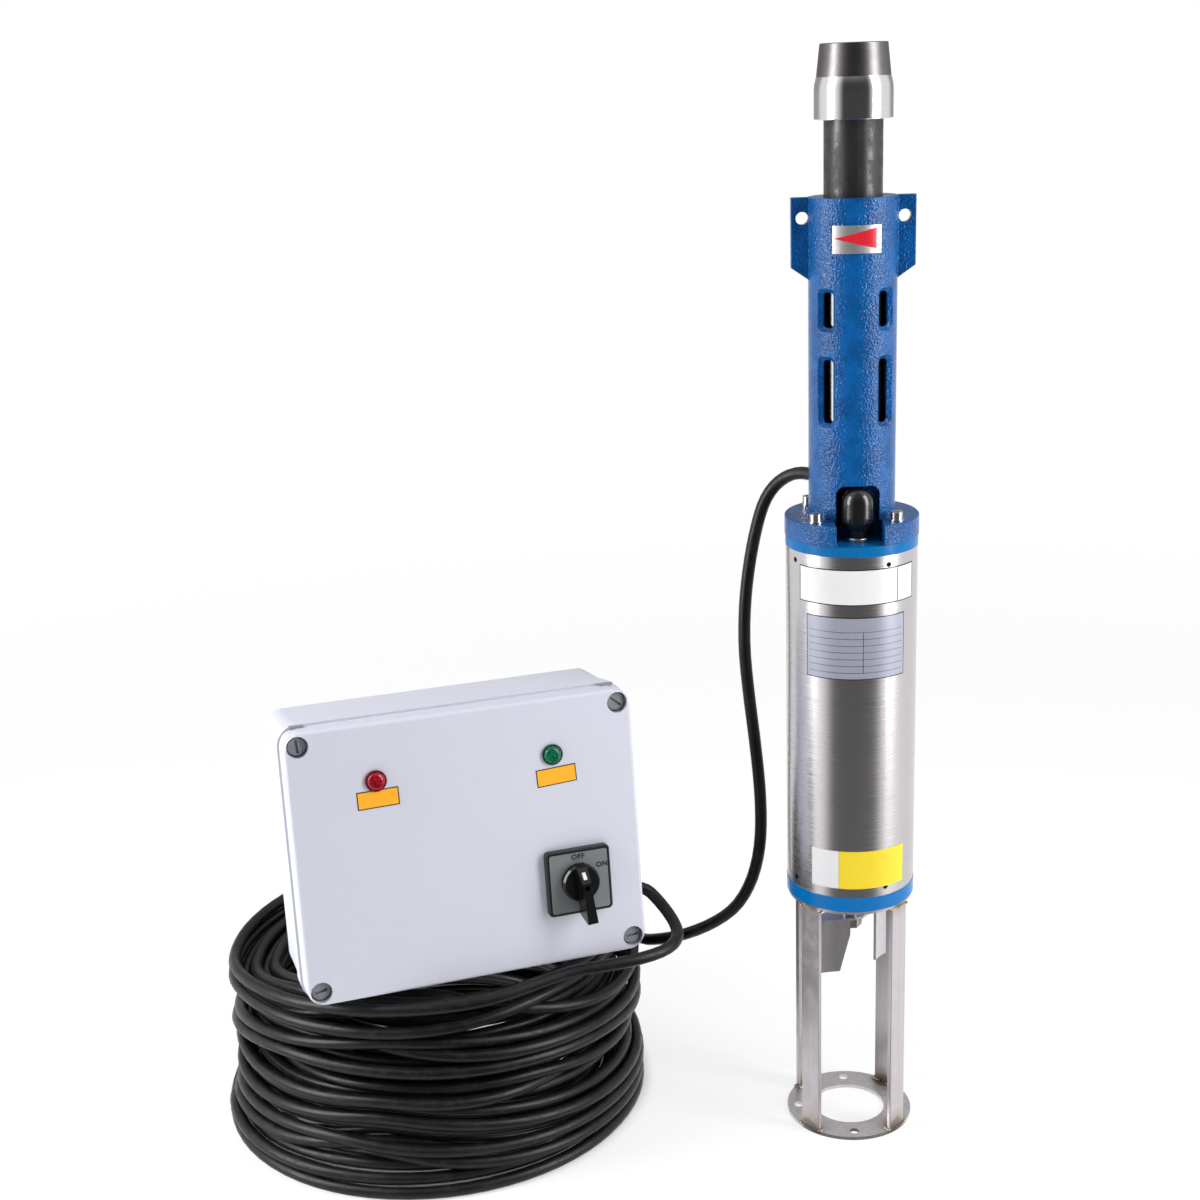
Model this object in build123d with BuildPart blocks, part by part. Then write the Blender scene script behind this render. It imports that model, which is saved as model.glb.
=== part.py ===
"""Submersible borehole screw pump with its stand, supply cable and control box.

Units are millimetres. +Z points up the pump's axis, -Y is the pump's front, and the
origin is the middle of the base ring's underside, on the floor.
"""
import os
from math import ceil, cos, pi, radians, sin, tan

from build123d import *

# General fits
RUN_GAP = 0.3            # between a moving piece and what it moves past
SEAT_GAP = 0.05          # between pieces that sit in each other

# Stand
BASE_RING_D = 143.6
BASE_RING_BORE = 82.0
BASE_RING_T = 4.0
BASE_HOLE_PCD = 118.0
BASE_HOLE_D = 11.0
LEG_W = 25.0
LEG_T = 5.0
LEG_EDGE_R = 0.8
LEG_INSET = 1.6          # from the base ring's rim to the leg's outer face
LEG_COUNT = 4
STAND_HEIGHT = 284.5     # floor to the motor's lower ring
TOP_RING_T = 3.0
TOP_RING_INSET = 1.2     # from the motor shell to the ring's rim
TOP_RING_LIP = 7.0       # how far the ring reaches in past the legs

# Motor
SHELL_D = 141.4
SHELL_WALL = 2.0
SHELL_LENGTH = 387.1
RING_PROUD = 0.4         # how far the blue rings stand out past the shell
FOOT_RING_H = 17.5
HEAD_RING_H = 10.9
SPIGOT_H = 22.0
SHELL_SCREW_D = 6.0
SHELL_SCREW_INSET = 10.0
SHELL_SCREW_ANGLE = 27.0
SHAFT_D = 25.0
SHAFT_END_D = 16.0
CORE_LENGTH = 250.0
CORE_BORE = 72.0
AIR_GAP = 0.6
CORE_LIFT = 70.0         # from the foot ring's top to the core's underside
WINDING_H = 26.0
BUSH_D = 40.0
RUNNER_D = 78.0
RUNNER_T = 8.0

# Casing
CASING_D = 91.8
CASING_WALL = 6.0
CASING_H = 354.0         # from the motor's head to the casing's top
CASING_LID_T = 10.0
FOOT_FLANGE_D = 143.5
FOOT_FLANGE_T = 21.5
EAR_SPAN = 128.0
EAR_H = 71.0
EAR_CHAMFER_H = 14.0
EAR_T = 11.0
EAR_HOLE_D = 13.2
EAR_HOLE_SPAN = 105.2
EAR_HOLE_DROP = 21.0
SLOT_ANGLE = 43.0
SLOT_W = 12.5
SLOT_RECESS_W = 29.0
UPPER_SLOT_DROP = 112.3  # from the casing's top to the slot's middle
UPPER_SLOT_H = 36.0
LOWER_SLOT_DROP = 196.5
LOWER_SLOT_H = 66.0
SLOT_RECESS_RIM = 5.0
SLOT_CORNER_R = 4.0
ARCH_X = 2.0
ARCH_W = 45.5
ARCH_H = 59.5
FLANGE_GAP_W = 50.0      # the arch's way through the flange
ARCH_FILLET = 10.0
CABLE_WINDOW_ANGLE = -118.0
CABLE_WINDOW_W = 28.0
CABLE_WINDOW_H = 32.0
CABLE_WINDOW_LIFT = 60.0 # from the motor's head to the window's middle
RIB_H = 12.0
RIB_W = 8.0
RIB_LEDGE = 2.5          # how far each rib's lower half reaches under the stator tube
FLANGE_SCREW_PCD = 120.0
FLANGE_SCREW_D = 8.0
FLANGE_SCREW_HEAD_D = 13.0
WASHER_D = 16.0
WASHER_T = 1.6

# Screw pump
ECCENTRICITY = 4.0
ROTOR_R = 14.0
STATOR_PLAY = 0.35
ROTOR_PITCH = 60.0
HELIX_STEPS = 24         # cross-sections for each turn of the rotor
STATOR_LENGTH = 204.0
STATOR_TUBE_D = 70.0
STATOR_TUBE_WALL = 3.5
FLEX_D = 10.0
ROTOR_HEAD_D = 24.0
ROTOR_HEAD_H = 20.0
COUPLING_D = 22.0
COUPLING_H = 40.0
PIPE_D = 60.3
PIPE_WALL = 3.6
PIPE_SEAT = 16.0         # how deep the pipe sits in the stator tube
SOCKET_D = 80.0
SOCKET_SHOULDER_D = 75.4 # where the rounded shoulder meets the taper
SOCKET_TOP_D = 68.6
SOCKET_H = 74.0
SOCKET_TAPER_H = 32.5
SOCKET_ROUND_H = 14.0    # height of the rounded shoulder
SOCKET_THREAD_D = 57.6
SOCKET_SEAT = 34.0
PIPE_STANDOUT = 76.0     # from the casing's top to the socket

# Stirrer
STIR_PLATE_T = 3.0
STIR_DROP = 66.0
STIR_GAP = 32.5          # from the motor's lower ring down to the stirrer
NUT_AF = 24.0
NUT_H = 12.0

# Cable outlet
CABLE_D = 14.0
GLAND_D = 25.4
GLAND_H = 4.0
BOOT_D = 34.0
BOOT_NECK_D = 21.0
BOOT_H = 54.0
BOOT_TAIL_D = 20.4
BOOT_TAIL = 24.0
BOOT_Y = -38.0

# Control box
BOX_W = 380.0
BOX_H = 298.0
BOX_D = 136.0
BOX_CORNER = 20.0
LID_DEPTH = 52.0
LID_RIM = 2.5
LID_RIM_H = 22.0
LID_FACE_R = 4.0
LID_GROOVE = 1.5         # how far the joint between lid and base is set in
LID_GROOVE_H = 2.5
BOX_WALL = 4.0
BOX_DRAFT = 1.0
BOX_TURN = 19.7          # how far the box is turned about the vertical
BOX_LEAN = 6.48          # how far it leans back
BOX_X = -417.2
BOX_Y = -105.3
LID_SCREW_INSET = 15.0
LID_SCREW_D = 18.5
LID_SCREW_RECESS_D = 23.0
LID_SCREW_DEPTH = 5.5
LID_SCREW_TURNS = [12.0, 95.0, 4.0, -40.0]
LAMP_X = 97.0
LAMP_Y = 87.0
LAMP_D = 20.0
LAMP_BEZEL_D = 23.0
LAMP_DOME = 6.5
SWITCH_X = 115.0
SWITCH_Y = -57.0
SWITCH_SIDE = 73.0
SWITCH_T = 9.0
KNOB_D = 42.0
KNOB_BASE_H = 9.0
KNOB_GRIP_W = 12.0
KNOB_WAIST_W = 9.0
KNOB_H = 32.0
KNOB_TIP = 22.0          # from the knob's centre to its pointing end
KNOB_TAIL = 40.0         # and to the end of its lever
KNOB_REST = 4.0          # how far the knob stands turned from the mark
KNOB_SCREW_D = 6.0
SWITCH_SHAFT_D = 8.0
SWITCH_BODY_SIDE = 52.0
SWITCH_BODY_H = 45.0
PLATE_MARGIN = 40.0      # from the box's side to its mounting plate
PLATE_T = 3.0
CONTACTOR_W = 45.0
CONTACTOR_L = 75.0
CONTACTOR_X = -70.0
CONTACTOR_Y = 20.0
TERMINAL_W = 150.0
TERMINAL_L = 24.0
TERMINAL_Y = -75.0
BOX_GLAND_Y = -108.0
BOX_GLAND_Z = -85.0
BOX_GLAND_D = 20.0

# Cable coil
COIL_X = -488.0
COIL_Y = 80.0
COIL_OUTER_D = 490.0
COIL_INNER_D = 370.0
COIL_H = 227.5

FRONT = -90.0            # the front's direction, in degrees from +X
QUARTERS = [45.0, 135.0, 225.0, 315.0]


def about_axis(radius, angle, z):
    """A point at a radius and an angle from the front, positive towards +X."""
    return Vector(radius * sin(radians(angle)), -radius * cos(radians(angle)), z)


def facing_out(radius, angle, z):
    """A plane at that point whose normal points away from the pump's axis."""
    out = about_axis(1, angle, 0)
    return Plane(about_axis(radius, angle, z), x_dir=(-out.Y, out.X, 0), z_dir=out)


parts = {}


def keep(name, part):
    part.label = name
    parts[name] = part


# Levels along the axis
leg_top = STAND_HEIGHT - TOP_RING_T
shell_bottom = STAND_HEIGHT + FOOT_RING_H
shell_top = shell_bottom + SHELL_LENGTH
head_top = shell_top + HEAD_RING_H
flange_top = head_top + FOOT_FLANGE_T
casing_top = head_top + CASING_H
shell_bore_r = SHELL_D / 2 - SHELL_WALL
leg_radius = BASE_RING_D / 2 - LEG_INSET - LEG_T / 2
casing_bore_r = CASING_D / 2 - CASING_WALL
stator_bottom = casing_top - CASING_LID_T - PIPE_SEAT - STATOR_LENGTH

# Stand: base ring
with BuildPart() as base_ring:
    with BuildSketch(Plane.XY):
        Circle(BASE_RING_D / 2)
        Circle(BASE_RING_BORE / 2, mode=Mode.SUBTRACT)
        with PolarLocations(BASE_HOLE_PCD / 2, 4):
            Circle(BASE_HOLE_D / 2, mode=Mode.SUBTRACT)
    extrude(amount=BASE_RING_T)
keep("base_ring", base_ring.part)

# Stand: four flat legs, wide face outwards
leg_names = ["leg_front_right", "leg_back_right", "leg_back_left", "leg_front_left"]
for leg_name, angle in zip(leg_names, QUARTERS):
    with BuildPart() as leg:
        with BuildSketch(Plane(about_axis(leg_radius, angle, BASE_RING_T), x_dir=about_axis(1, angle, 0))):
            RectangleRounded(LEG_T, LEG_W, LEG_EDGE_R)
        extrude(amount=leg_top - BASE_RING_T)
    keep(leg_name, leg.part)

# Stand: ring that the legs carry under the motor
with BuildPart() as stand_top_ring:
    with BuildSketch(Plane.XY.offset(leg_top)):
        Circle(SHELL_D / 2 - TOP_RING_INSET)
        Circle(leg_radius - LEG_T / 2 - TOP_RING_LIP, mode=Mode.SUBTRACT)
    extrude(amount=TOP_RING_T)
keep("stand_top_ring", stand_top_ring.part)

# Motor: lower ring with its spigot, the lower bearing's seat and the way for the shaft
with BuildPart() as motor_foot:
    with BuildSketch(Plane.XY.offset(STAND_HEIGHT)):
        Circle(SHELL_D / 2 + RING_PROUD)
    extrude(amount=FOOT_RING_H)
    chamfer(motor_foot.edges().group_by(Axis.Z)[0], 1.6)
    with BuildSketch(Plane.XY.offset(shell_bottom)):
        Circle(shell_bore_r - SEAT_GAP)
    extrude(amount=SPIGOT_H)
    with BuildSketch(Plane.XY.offset(STAND_HEIGHT + 8)):
        Circle(BUSH_D / 2)
    extrude(amount=FOOT_RING_H + SPIGOT_H, mode=Mode.SUBTRACT)
    with BuildSketch(Plane.XY.offset(STAND_HEIGHT)):
        Circle(SHAFT_END_D / 2 + 3 + RUN_GAP)
    extrude(amount=10, mode=Mode.SUBTRACT)
    for angle in QUARTERS:
        with BuildSketch(facing_out(shell_bore_r - 12, angle + SHELL_SCREW_ANGLE - 45, shell_bottom + SHELL_SCREW_INSET)):
            Circle(SHELL_SCREW_D / 2)
        extrude(amount=20, mode=Mode.SUBTRACT)
keep("motor_foot", motor_foot.part)

# Motor: stainless shell with its two rows of screw holes
screw_levels = [shell_bottom + SHELL_SCREW_INSET, shell_top - SHELL_SCREW_INSET]
with BuildPart() as motor_shell:
    with BuildSketch(Plane.XY.offset(shell_bottom)):
        Circle(SHELL_D / 2)
        Circle(shell_bore_r, mode=Mode.SUBTRACT)
    extrude(amount=SHELL_LENGTH)
    for level in screw_levels:
        for angle in QUARTERS:
            with BuildSketch(facing_out(shell_bore_r - 4, angle + SHELL_SCREW_ANGLE - 45, level)):
                Circle(SHELL_SCREW_D / 2 + SEAT_GAP)
            extrude(amount=10, mode=Mode.SUBTRACT)
keep("motor_shell", motor_shell.part)

# Motor: eight screws that hold the shell to the two rings
with BuildPart() as shell_screws:
    for level in screw_levels:
        for angle in QUARTERS:
            with BuildSketch(facing_out(shell_bore_r - 10, angle + SHELL_SCREW_ANGLE - 45, level)):
                Circle(SHELL_SCREW_D / 2 - SEAT_GAP)
            extrude(amount=10 + SHELL_WALL)
            with BuildSketch(facing_out(shell_bore_r + SHELL_WALL - 2, angle + SHELL_SCREW_ANGLE - 45, level)):
                RegularPolygon(SHELL_SCREW_D / 3.4, 6)
            extrude(amount=4, mode=Mode.SUBTRACT)
keep("shell_screws", shell_screws.part)

# Motor: head with its spigot, the shaft seal's seat and the boss inside the casing
boss_h = 8.0
seal_d = 34.0
with BuildPart() as motor_head:
    with BuildSketch(Plane.XY.offset(shell_top - SPIGOT_H)):
        Circle(shell_bore_r - SEAT_GAP)
    extrude(amount=SPIGOT_H)
    with BuildSketch(Plane.XY.offset(shell_top)):
        Circle(SHELL_D / 2 + RING_PROUD)
    extrude(amount=HEAD_RING_H)
    with BuildSketch(Plane.XY.offset(head_top)):
        Circle(seal_d / 2 + 3)
    extrude(amount=boss_h)
    with BuildSketch(Plane.XY.offset(shell_top - SPIGOT_H)):
        Circle(BUSH_D / 2)
    extrude(amount=SPIGOT_H - 4, mode=Mode.SUBTRACT)
    with BuildSketch(Plane.XY.offset(shell_top - 6)):
        Circle(SHAFT_END_D / 2 + RUN_GAP)
    extrude(amount=HEAD_RING_H + boss_h + 8, mode=Mode.SUBTRACT)
    with BuildSketch(Plane.XY.offset(shell_top + 2)):
        Circle(seal_d / 2)
    extrude(amount=HEAD_RING_H + boss_h, mode=Mode.SUBTRACT)
    with BuildSketch(Plane.XY.offset(head_top - 10)):
        with PolarLocations(FLANGE_SCREW_PCD / 2, 4, start_angle=45):
            Circle(FLANGE_SCREW_D / 2)
    extrude(amount=12, mode=Mode.SUBTRACT)
    for angle in QUARTERS:
        with BuildSketch(facing_out(shell_bore_r - 12, angle + SHELL_SCREW_ANGLE - 45, screw_levels[1])):
            Circle(SHELL_SCREW_D / 2)
        extrude(amount=20, mode=Mode.SUBTRACT)
keep("motor_head", motor_head.part)

# Motor: laminated core, its end windings, and the two carbon bushes
core_bottom = shell_bottom + CORE_LIFT
core_top = core_bottom + CORE_LENGTH
with BuildPart() as stator_core:
    with BuildSketch(Plane.XY.offset(core_bottom)):
        Circle(shell_bore_r - SEAT_GAP)
        Circle(CORE_BORE / 2, mode=Mode.SUBTRACT)
    extrude(amount=CORE_LENGTH)
keep("stator_core", stator_core.part)

with BuildPart() as end_windings:
    for level in (core_bottom - WINDING_H, core_top):
        with BuildSketch(Plane.XY.offset(level)):
            Circle(shell_bore_r - 6)
            Circle(CORE_BORE / 2 + 6, mode=Mode.SUBTRACT)
        extrude(amount=WINDING_H)
keep("end_windings", end_windings.part)

bush_h = SPIGOT_H - 6
bush_levels = {"lower_bush": shell_bottom + 2, "upper_bush": shell_top - SPIGOT_H}
for bush_name, level in bush_levels.items():
    with BuildPart() as bush:
        with BuildSketch(Plane.XY.offset(level)):
            Circle(BUSH_D / 2 - SEAT_GAP)
            Circle(SHAFT_D / 2 + SEAT_GAP, mode=Mode.SUBTRACT)
        extrude(amount=bush_h)
    keep(bush_name, bush.part)

# Motor: thrust pad on the foot's spigot
pad_z = shell_bottom + SPIGOT_H
with BuildPart() as thrust_pad:
    with BuildSketch(Plane.XY.offset(pad_z)):
        Circle(RUNNER_D / 2)
        Circle(SHAFT_D / 2 + 4, mode=Mode.SUBTRACT)
    extrude(amount=6)
keep("thrust_pad", thrust_pad.part)

# Motor: rotor pack, thrust runner, shaft and seal
runner_z = pad_z + 6 + RUN_GAP
with BuildPart() as motor_rotor:
    with BuildSketch(Plane.XY.offset(core_bottom)):
        Circle(CORE_BORE / 2 - AIR_GAP)
        Circle(SHAFT_D / 2 + SEAT_GAP, mode=Mode.SUBTRACT)
    extrude(amount=CORE_LENGTH)
keep("motor_rotor", motor_rotor.part)

with BuildPart() as thrust_runner:
    with BuildSketch(Plane.XY.offset(runner_z)):
        Circle(RUNNER_D / 2)
        Circle(SHAFT_D / 2 + SEAT_GAP, mode=Mode.SUBTRACT)
    extrude(amount=RUNNER_T)
keep("thrust_runner", thrust_runner.part)

stir_top = STAND_HEIGHT - STIR_GAP
nut_z = stir_top - STIR_PLATE_T - NUT_H
coupling_z = head_top + boss_h + 6
shaft_top = coupling_z + COUPLING_H / 2 - 2
with BuildPart() as motor_shaft:
    with BuildSketch(Plane.XY.offset(nut_z - 1.5)):
        Circle(SHAFT_END_D / 2)
    extrude(amount=shaft_top - nut_z + 1.5)
    with BuildSketch(Plane.XY.offset(stir_top)):
        Circle(SHAFT_END_D / 2 + 3)
    extrude(amount=STAND_HEIGHT + 9 - stir_top)
    with BuildSketch(Plane.XY.offset(shell_bottom - 6)):
        Circle(SHAFT_D / 2)
    extrude(amount=SHELL_LENGTH)
keep("motor_shaft", motor_shaft.part)

with BuildPart() as shaft_seal:
    with BuildSketch(Plane.XY.offset(shell_top + 2)):
        Circle(seal_d / 2 - SEAT_GAP)
        Circle(SHAFT_END_D / 2 + RUN_GAP, mode=Mode.SUBTRACT)
    extrude(amount=HEAD_RING_H + boss_h)
    chamfer(shaft_seal.edges().group_by(Axis.Z)[-1].sort_by(Edge.length)[-1], 2)
keep("shaft_seal", shaft_seal.part)

# Stirrer: wide paddle on the left, scraper on the right, joined by a flat plate
paddle_z = stir_top - STIR_DROP
wide_paddle = [(-1.0, -16.0), (-24.0, -17.5), (-47.0, -24.0)]
scraper = [(30.0, 8.0), (36.0, 18.0), (44.0, 26.0)]
with BuildPart() as stirrer:
    for outline in (wide_paddle, scraper):
        with BuildSketch(Plane.XY.offset(paddle_z)):
            with BuildLine():
                blade_line = ThreePointArc(*outline)
            trace(line_width=STIR_PLATE_T)
        extrude(amount=STIR_DROP)
    with BuildSketch(Plane.XZ.offset(-60)):
        with BuildLine():
            Polyline((0.5, stir_top - 14), (-12.6, paddle_z), (-12.6, paddle_z - 5), (12, paddle_z - 5),
                     (12, stir_top - 14), close=True)
        make_face()
    extrude(amount=120, mode=Mode.SUBTRACT)
    with BuildSketch(Plane.XY.offset(stir_top - STIR_PLATE_T)):
        with BuildLine():
            Polyline((-44, -25), (-1, -17.4), (14, -12), (29, 6), (40, 24), (34, 22), (12, 14), (-12, 14),
                     (-46, -16), close=True)
        make_face()
        Circle(17)
        Circle(SHAFT_END_D / 2 + SEAT_GAP, mode=Mode.SUBTRACT)
    extrude(amount=STIR_PLATE_T)
keep("stirrer", stirrer.part)

with BuildPart() as stirrer_nut:
    with BuildSketch(Plane.XY.offset(nut_z)):
        RegularPolygon(NUT_AF / 2, 6, major_radius=False)
        Circle(SHAFT_END_D / 2 + SEAT_GAP, mode=Mode.SUBTRACT)
    extrude(amount=NUT_H)
keep("stirrer_nut", stirrer_nut.part)

# Pump: cast casing with ears, foot flange, strainer slots, arch and cable window
casing_r = CASING_D / 2
ear_bottom = casing_top - EAR_H
with BuildPart() as pump_casing:
    with BuildSketch(Plane.XY.offset(head_top)):
        Circle(FOOT_FLANGE_D / 2)
    extrude(amount=FOOT_FLANGE_T)
    chamfer(pump_casing.edges().group_by(Axis.Z)[-1], 1.2)
    with BuildSketch(Plane.XY.offset(head_top)):
        Circle(casing_r)
    extrude(amount=casing_top - head_top)
    with BuildSketch(Plane.XZ.offset(-EAR_T / 2)):
        with BuildLine():
            Polyline((EAR_SPAN / 2, casing_top), (EAR_SPAN / 2, ear_bottom),
                     (casing_r - 2, ear_bottom - EAR_CHAMFER_H), (-casing_r + 2, ear_bottom - EAR_CHAMFER_H),
                     (-EAR_SPAN / 2, ear_bottom), (-EAR_SPAN / 2, casing_top), close=True)
        make_face()
        with Locations((EAR_HOLE_SPAN / 2, casing_top - EAR_HOLE_DROP),
                       (-EAR_HOLE_SPAN / 2, casing_top - EAR_HOLE_DROP)):
            Circle(EAR_HOLE_D / 2, mode=Mode.SUBTRACT)
    extrude(amount=EAR_T)
    with BuildSketch(Plane.XY.offset(head_top)):
        Circle(casing_bore_r)
    extrude(amount=casing_top - CASING_LID_T - head_top, mode=Mode.SUBTRACT)
    with BuildSketch(Plane.XY.offset(casing_top - CASING_LID_T)):
        Circle(PIPE_D / 2 + RUN_GAP)
    extrude(amount=CASING_LID_T, mode=Mode.SUBTRACT)
    for drop, height in ((UPPER_SLOT_DROP, UPPER_SLOT_H), (LOWER_SLOT_DROP, LOWER_SLOT_H)):
        level = casing_top - drop
        for angle in (SLOT_ANGLE, -SLOT_ANGLE, 180 - SLOT_ANGLE, 180 + SLOT_ANGLE):
            with BuildSketch(facing_out(casing_bore_r + 1, angle, level)):
                RectangleRounded(SLOT_W, height, SLOT_CORNER_R)
            with BuildSketch(facing_out(casing_r + 0.6, angle, level)):
                RectangleRounded(SLOT_RECESS_W, height + 2 * SLOT_RECESS_RIM, SLOT_CORNER_R + 2)
            loft(mode=Mode.SUBTRACT)
            with BuildSketch(facing_out(casing_bore_r - 6, angle, level)):
                RectangleRounded(SLOT_W, height, SLOT_CORNER_R)
            extrude(amount=12, mode=Mode.SUBTRACT)
    with BuildSketch(Plane.XZ.offset(casing_bore_r - 14)):
        with Locations((ARCH_X, head_top)):
            Rectangle(ARCH_W, ARCH_H, align=(Align.CENTER, Align.MIN))
            Rectangle(FLANGE_GAP_W, FOOT_FLANGE_T, align=(Align.CENTER, Align.MIN))
    extrude(amount=80, mode=Mode.SUBTRACT)
    arch_corners = pump_casing.edges().filter_by(Axis.Y).filter_by_position(
        Axis.Z, head_top + ARCH_H - 0.5, head_top + ARCH_H + 0.5)
    fillet(arch_corners, ARCH_FILLET)
    with BuildSketch(facing_out(casing_bore_r - 8, CABLE_WINDOW_ANGLE, head_top + CABLE_WINDOW_LIFT)):
        RectangleRounded(CABLE_WINDOW_W, CABLE_WINDOW_H, 8)
    extrude(amount=30, mode=Mode.SUBTRACT)
    with BuildSketch(Plane.XY.offset(stator_bottom - RIB_H)):
        with PolarLocations(STATOR_TUBE_D / 2 + 2, 4):
            Rectangle(casing_r - STATOR_TUBE_D / 2 + 1, RIB_W)
        Circle(casing_bore_r + CASING_WALL / 2, mode=Mode.INTERSECT)
        Circle(STATOR_TUBE_D / 2 - RIB_LEDGE, mode=Mode.SUBTRACT)
    extrude(amount=2 * RIB_H)
    with BuildSketch(Plane.XY.offset(stator_bottom)):
        Circle(STATOR_TUBE_D / 2 + SEAT_GAP)
    extrude(amount=RIB_H, mode=Mode.SUBTRACT)
    with BuildSketch(Plane.XY.offset(head_top)):
        with PolarLocations(FLANGE_SCREW_PCD / 2, 4, start_angle=45):
            Circle(FLANGE_SCREW_D / 2 + 0.5)
    extrude(amount=FOOT_FLANGE_T, mode=Mode.SUBTRACT)
keep("pump_casing", pump_casing.part)

# Pump: four cap screws with washers that hold the casing to the motor
with BuildPart() as flange_washers:
    with BuildSketch(Plane.XY.offset(flange_top)):
        with PolarLocations(FLANGE_SCREW_PCD / 2, 4, start_angle=45):
            Circle(WASHER_D / 2)
            Circle(FLANGE_SCREW_D / 2 + 0.3, mode=Mode.SUBTRACT)
    extrude(amount=WASHER_T)
keep("flange_washers", flange_washers.part)

with BuildPart() as flange_screws:
    with BuildSketch(Plane.XY.offset(head_top - 9)):
        with PolarLocations(FLANGE_SCREW_PCD / 2, 4, start_angle=45):
            Circle(FLANGE_SCREW_D / 2 - SEAT_GAP)
    extrude(amount=FOOT_FLANGE_T + 9 + WASHER_T)
    with BuildSketch(Plane.XY.offset(flange_top + WASHER_T)):
        with PolarLocations(FLANGE_SCREW_PCD / 2, 4, start_angle=45):
            Circle(FLANGE_SCREW_HEAD_D / 2)
    extrude(amount=FLANGE_SCREW_D)
    with BuildSketch(Plane.XY.offset(flange_top + WASHER_T + FLANGE_SCREW_D / 2)):
        with PolarLocations(FLANGE_SCREW_PCD / 2, 4, start_angle=45):
            RegularPolygon(FLANGE_SCREW_D * 0.43, 6)
    extrude(amount=FLANGE_SCREW_D, mode=Mode.SUBTRACT)
keep("flange_screws", flange_screws.part)

# Pump: coupling on the motor shaft
coupling_seat = COUPLING_H / 2
with BuildPart() as shaft_coupling:
    with BuildSketch(Plane.XY.offset(coupling_z)):
        Circle(COUPLING_D / 2)
    extrude(amount=COUPLING_H)
    with BuildSketch(Plane.XY.offset(coupling_z)):
        Circle(SHAFT_END_D / 2 + SEAT_GAP)
    extrude(amount=coupling_seat, mode=Mode.SUBTRACT)
    with BuildSketch(Plane.XY.offset(coupling_z + coupling_seat)):
        Circle(FLEX_D / 2 + RUN_GAP)
    extrude(amount=coupling_seat, mode=Mode.SUBTRACT)
keep("shaft_coupling", shaft_coupling.part)

# Pump: bent flexible shaft from the coupling up to the rotor's head
rotor_bottom = stator_bottom - 4
head_bottom = rotor_bottom - ROTOR_HEAD_H
flex_bottom = coupling_z + coupling_seat + RUN_GAP
flex_top = rotor_bottom - 4 - RUN_GAP
coupling_top = coupling_z + COUPLING_H
with BuildPart() as flex_shaft:
    with BuildLine() as flex_line:
        FilletPolyline((0, 0, flex_bottom), (0, 0, coupling_top + 2), (ECCENTRICITY, 0, head_bottom - 2),
                       (ECCENTRICITY, 0, flex_top), radius=60)
    with BuildSketch(Plane.XY.offset(flex_bottom)):
        Circle(FLEX_D / 2)
    sweep()
keep("flex_shaft", flex_shaft.part)

# Pump: helical rotor with its head
rotor_length = STATOR_LENGTH + 8
rotor_steps = ceil(HELIX_STEPS * rotor_length / ROTOR_PITCH)
with BuildPart() as screw_rotor:
    with BuildSketch(Plane((ECCENTRICITY, 0, head_bottom))):
        Circle(ROTOR_HEAD_D / 2)
    extrude(amount=ROTOR_HEAD_H)
    with BuildSketch(Plane((ECCENTRICITY, 0, head_bottom))):
        Circle(FLEX_D / 2 + RUN_GAP)
    extrude(amount=ROTOR_HEAD_H - 4, mode=Mode.SUBTRACT)
    for step in range(rotor_steps + 1):
        height = rotor_length * step / rotor_steps
        lobe = Vector(ECCENTRICITY, 0, 0).rotate(Axis.Z, 360 * height / ROTOR_PITCH)
        with BuildSketch(Plane(Vector(ECCENTRICITY, 0, rotor_bottom + height) + lobe)):
            Circle(ROTOR_R)
    loft(ruled=True)
keep("screw_rotor", screw_rotor.part)

# Pump: rubber stator, with the two-start cavity that the rotor rolls in
cavity_bottom = stator_bottom - 2
cavity_length = STATOR_LENGTH + 4
cavity_steps = ceil(HELIX_STEPS * cavity_length / ROTOR_PITCH)
stator_bore_r = STATOR_TUBE_D / 2 - STATOR_TUBE_WALL
with BuildPart() as stator_rubber:
    with BuildSketch(Plane.XY.offset(stator_bottom)):
        Circle(stator_bore_r - SEAT_GAP)
    extrude(amount=STATOR_LENGTH)
    for step in range(cavity_steps + 1):
        height = cavity_bottom + cavity_length * step / cavity_steps
        along = Vector(1, 0, 0).rotate(Axis.Z, 180 * (height - rotor_bottom) / ROTOR_PITCH)
        with BuildSketch(Plane((0, 0, height), x_dir=along)):
            SlotCenterToCenter(4 * ECCENTRICITY, 2 * (ROTOR_R + STATOR_PLAY))
    loft(ruled=True, mode=Mode.SUBTRACT)
keep("stator_rubber", stator_rubber.part)

with BuildPart() as stator_tube:
    with BuildSketch(Plane.XY.offset(stator_bottom)):
        Circle(STATOR_TUBE_D / 2)
        Circle(stator_bore_r, mode=Mode.SUBTRACT)
    extrude(amount=STATOR_LENGTH)
    with BuildSketch(Plane.XY.offset(stator_bottom + STATOR_LENGTH)):
        Circle(STATOR_TUBE_D / 2)
        Circle(PIPE_D / 2 + SEAT_GAP, mode=Mode.SUBTRACT)
    extrude(amount=PIPE_SEAT - RUN_GAP)
keep("stator_tube", stator_tube.part)

# Discharge: pipe and tapered socket
socket_bottom = casing_top + PIPE_STANDOUT
socket_top = socket_bottom + SOCKET_H
taper_foot = socket_top - SOCKET_TAPER_H
pipe_bottom = stator_bottom + STATOR_LENGTH + SEAT_GAP
with BuildPart() as discharge_pipe:
    with BuildSketch(Plane.XY.offset(pipe_bottom)):
        Circle(PIPE_D / 2)
        Circle(PIPE_D / 2 - PIPE_WALL, mode=Mode.SUBTRACT)
    extrude(amount=socket_bottom + SOCKET_SEAT - pipe_bottom)
keep("discharge_pipe", discharge_pipe.part)

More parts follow.
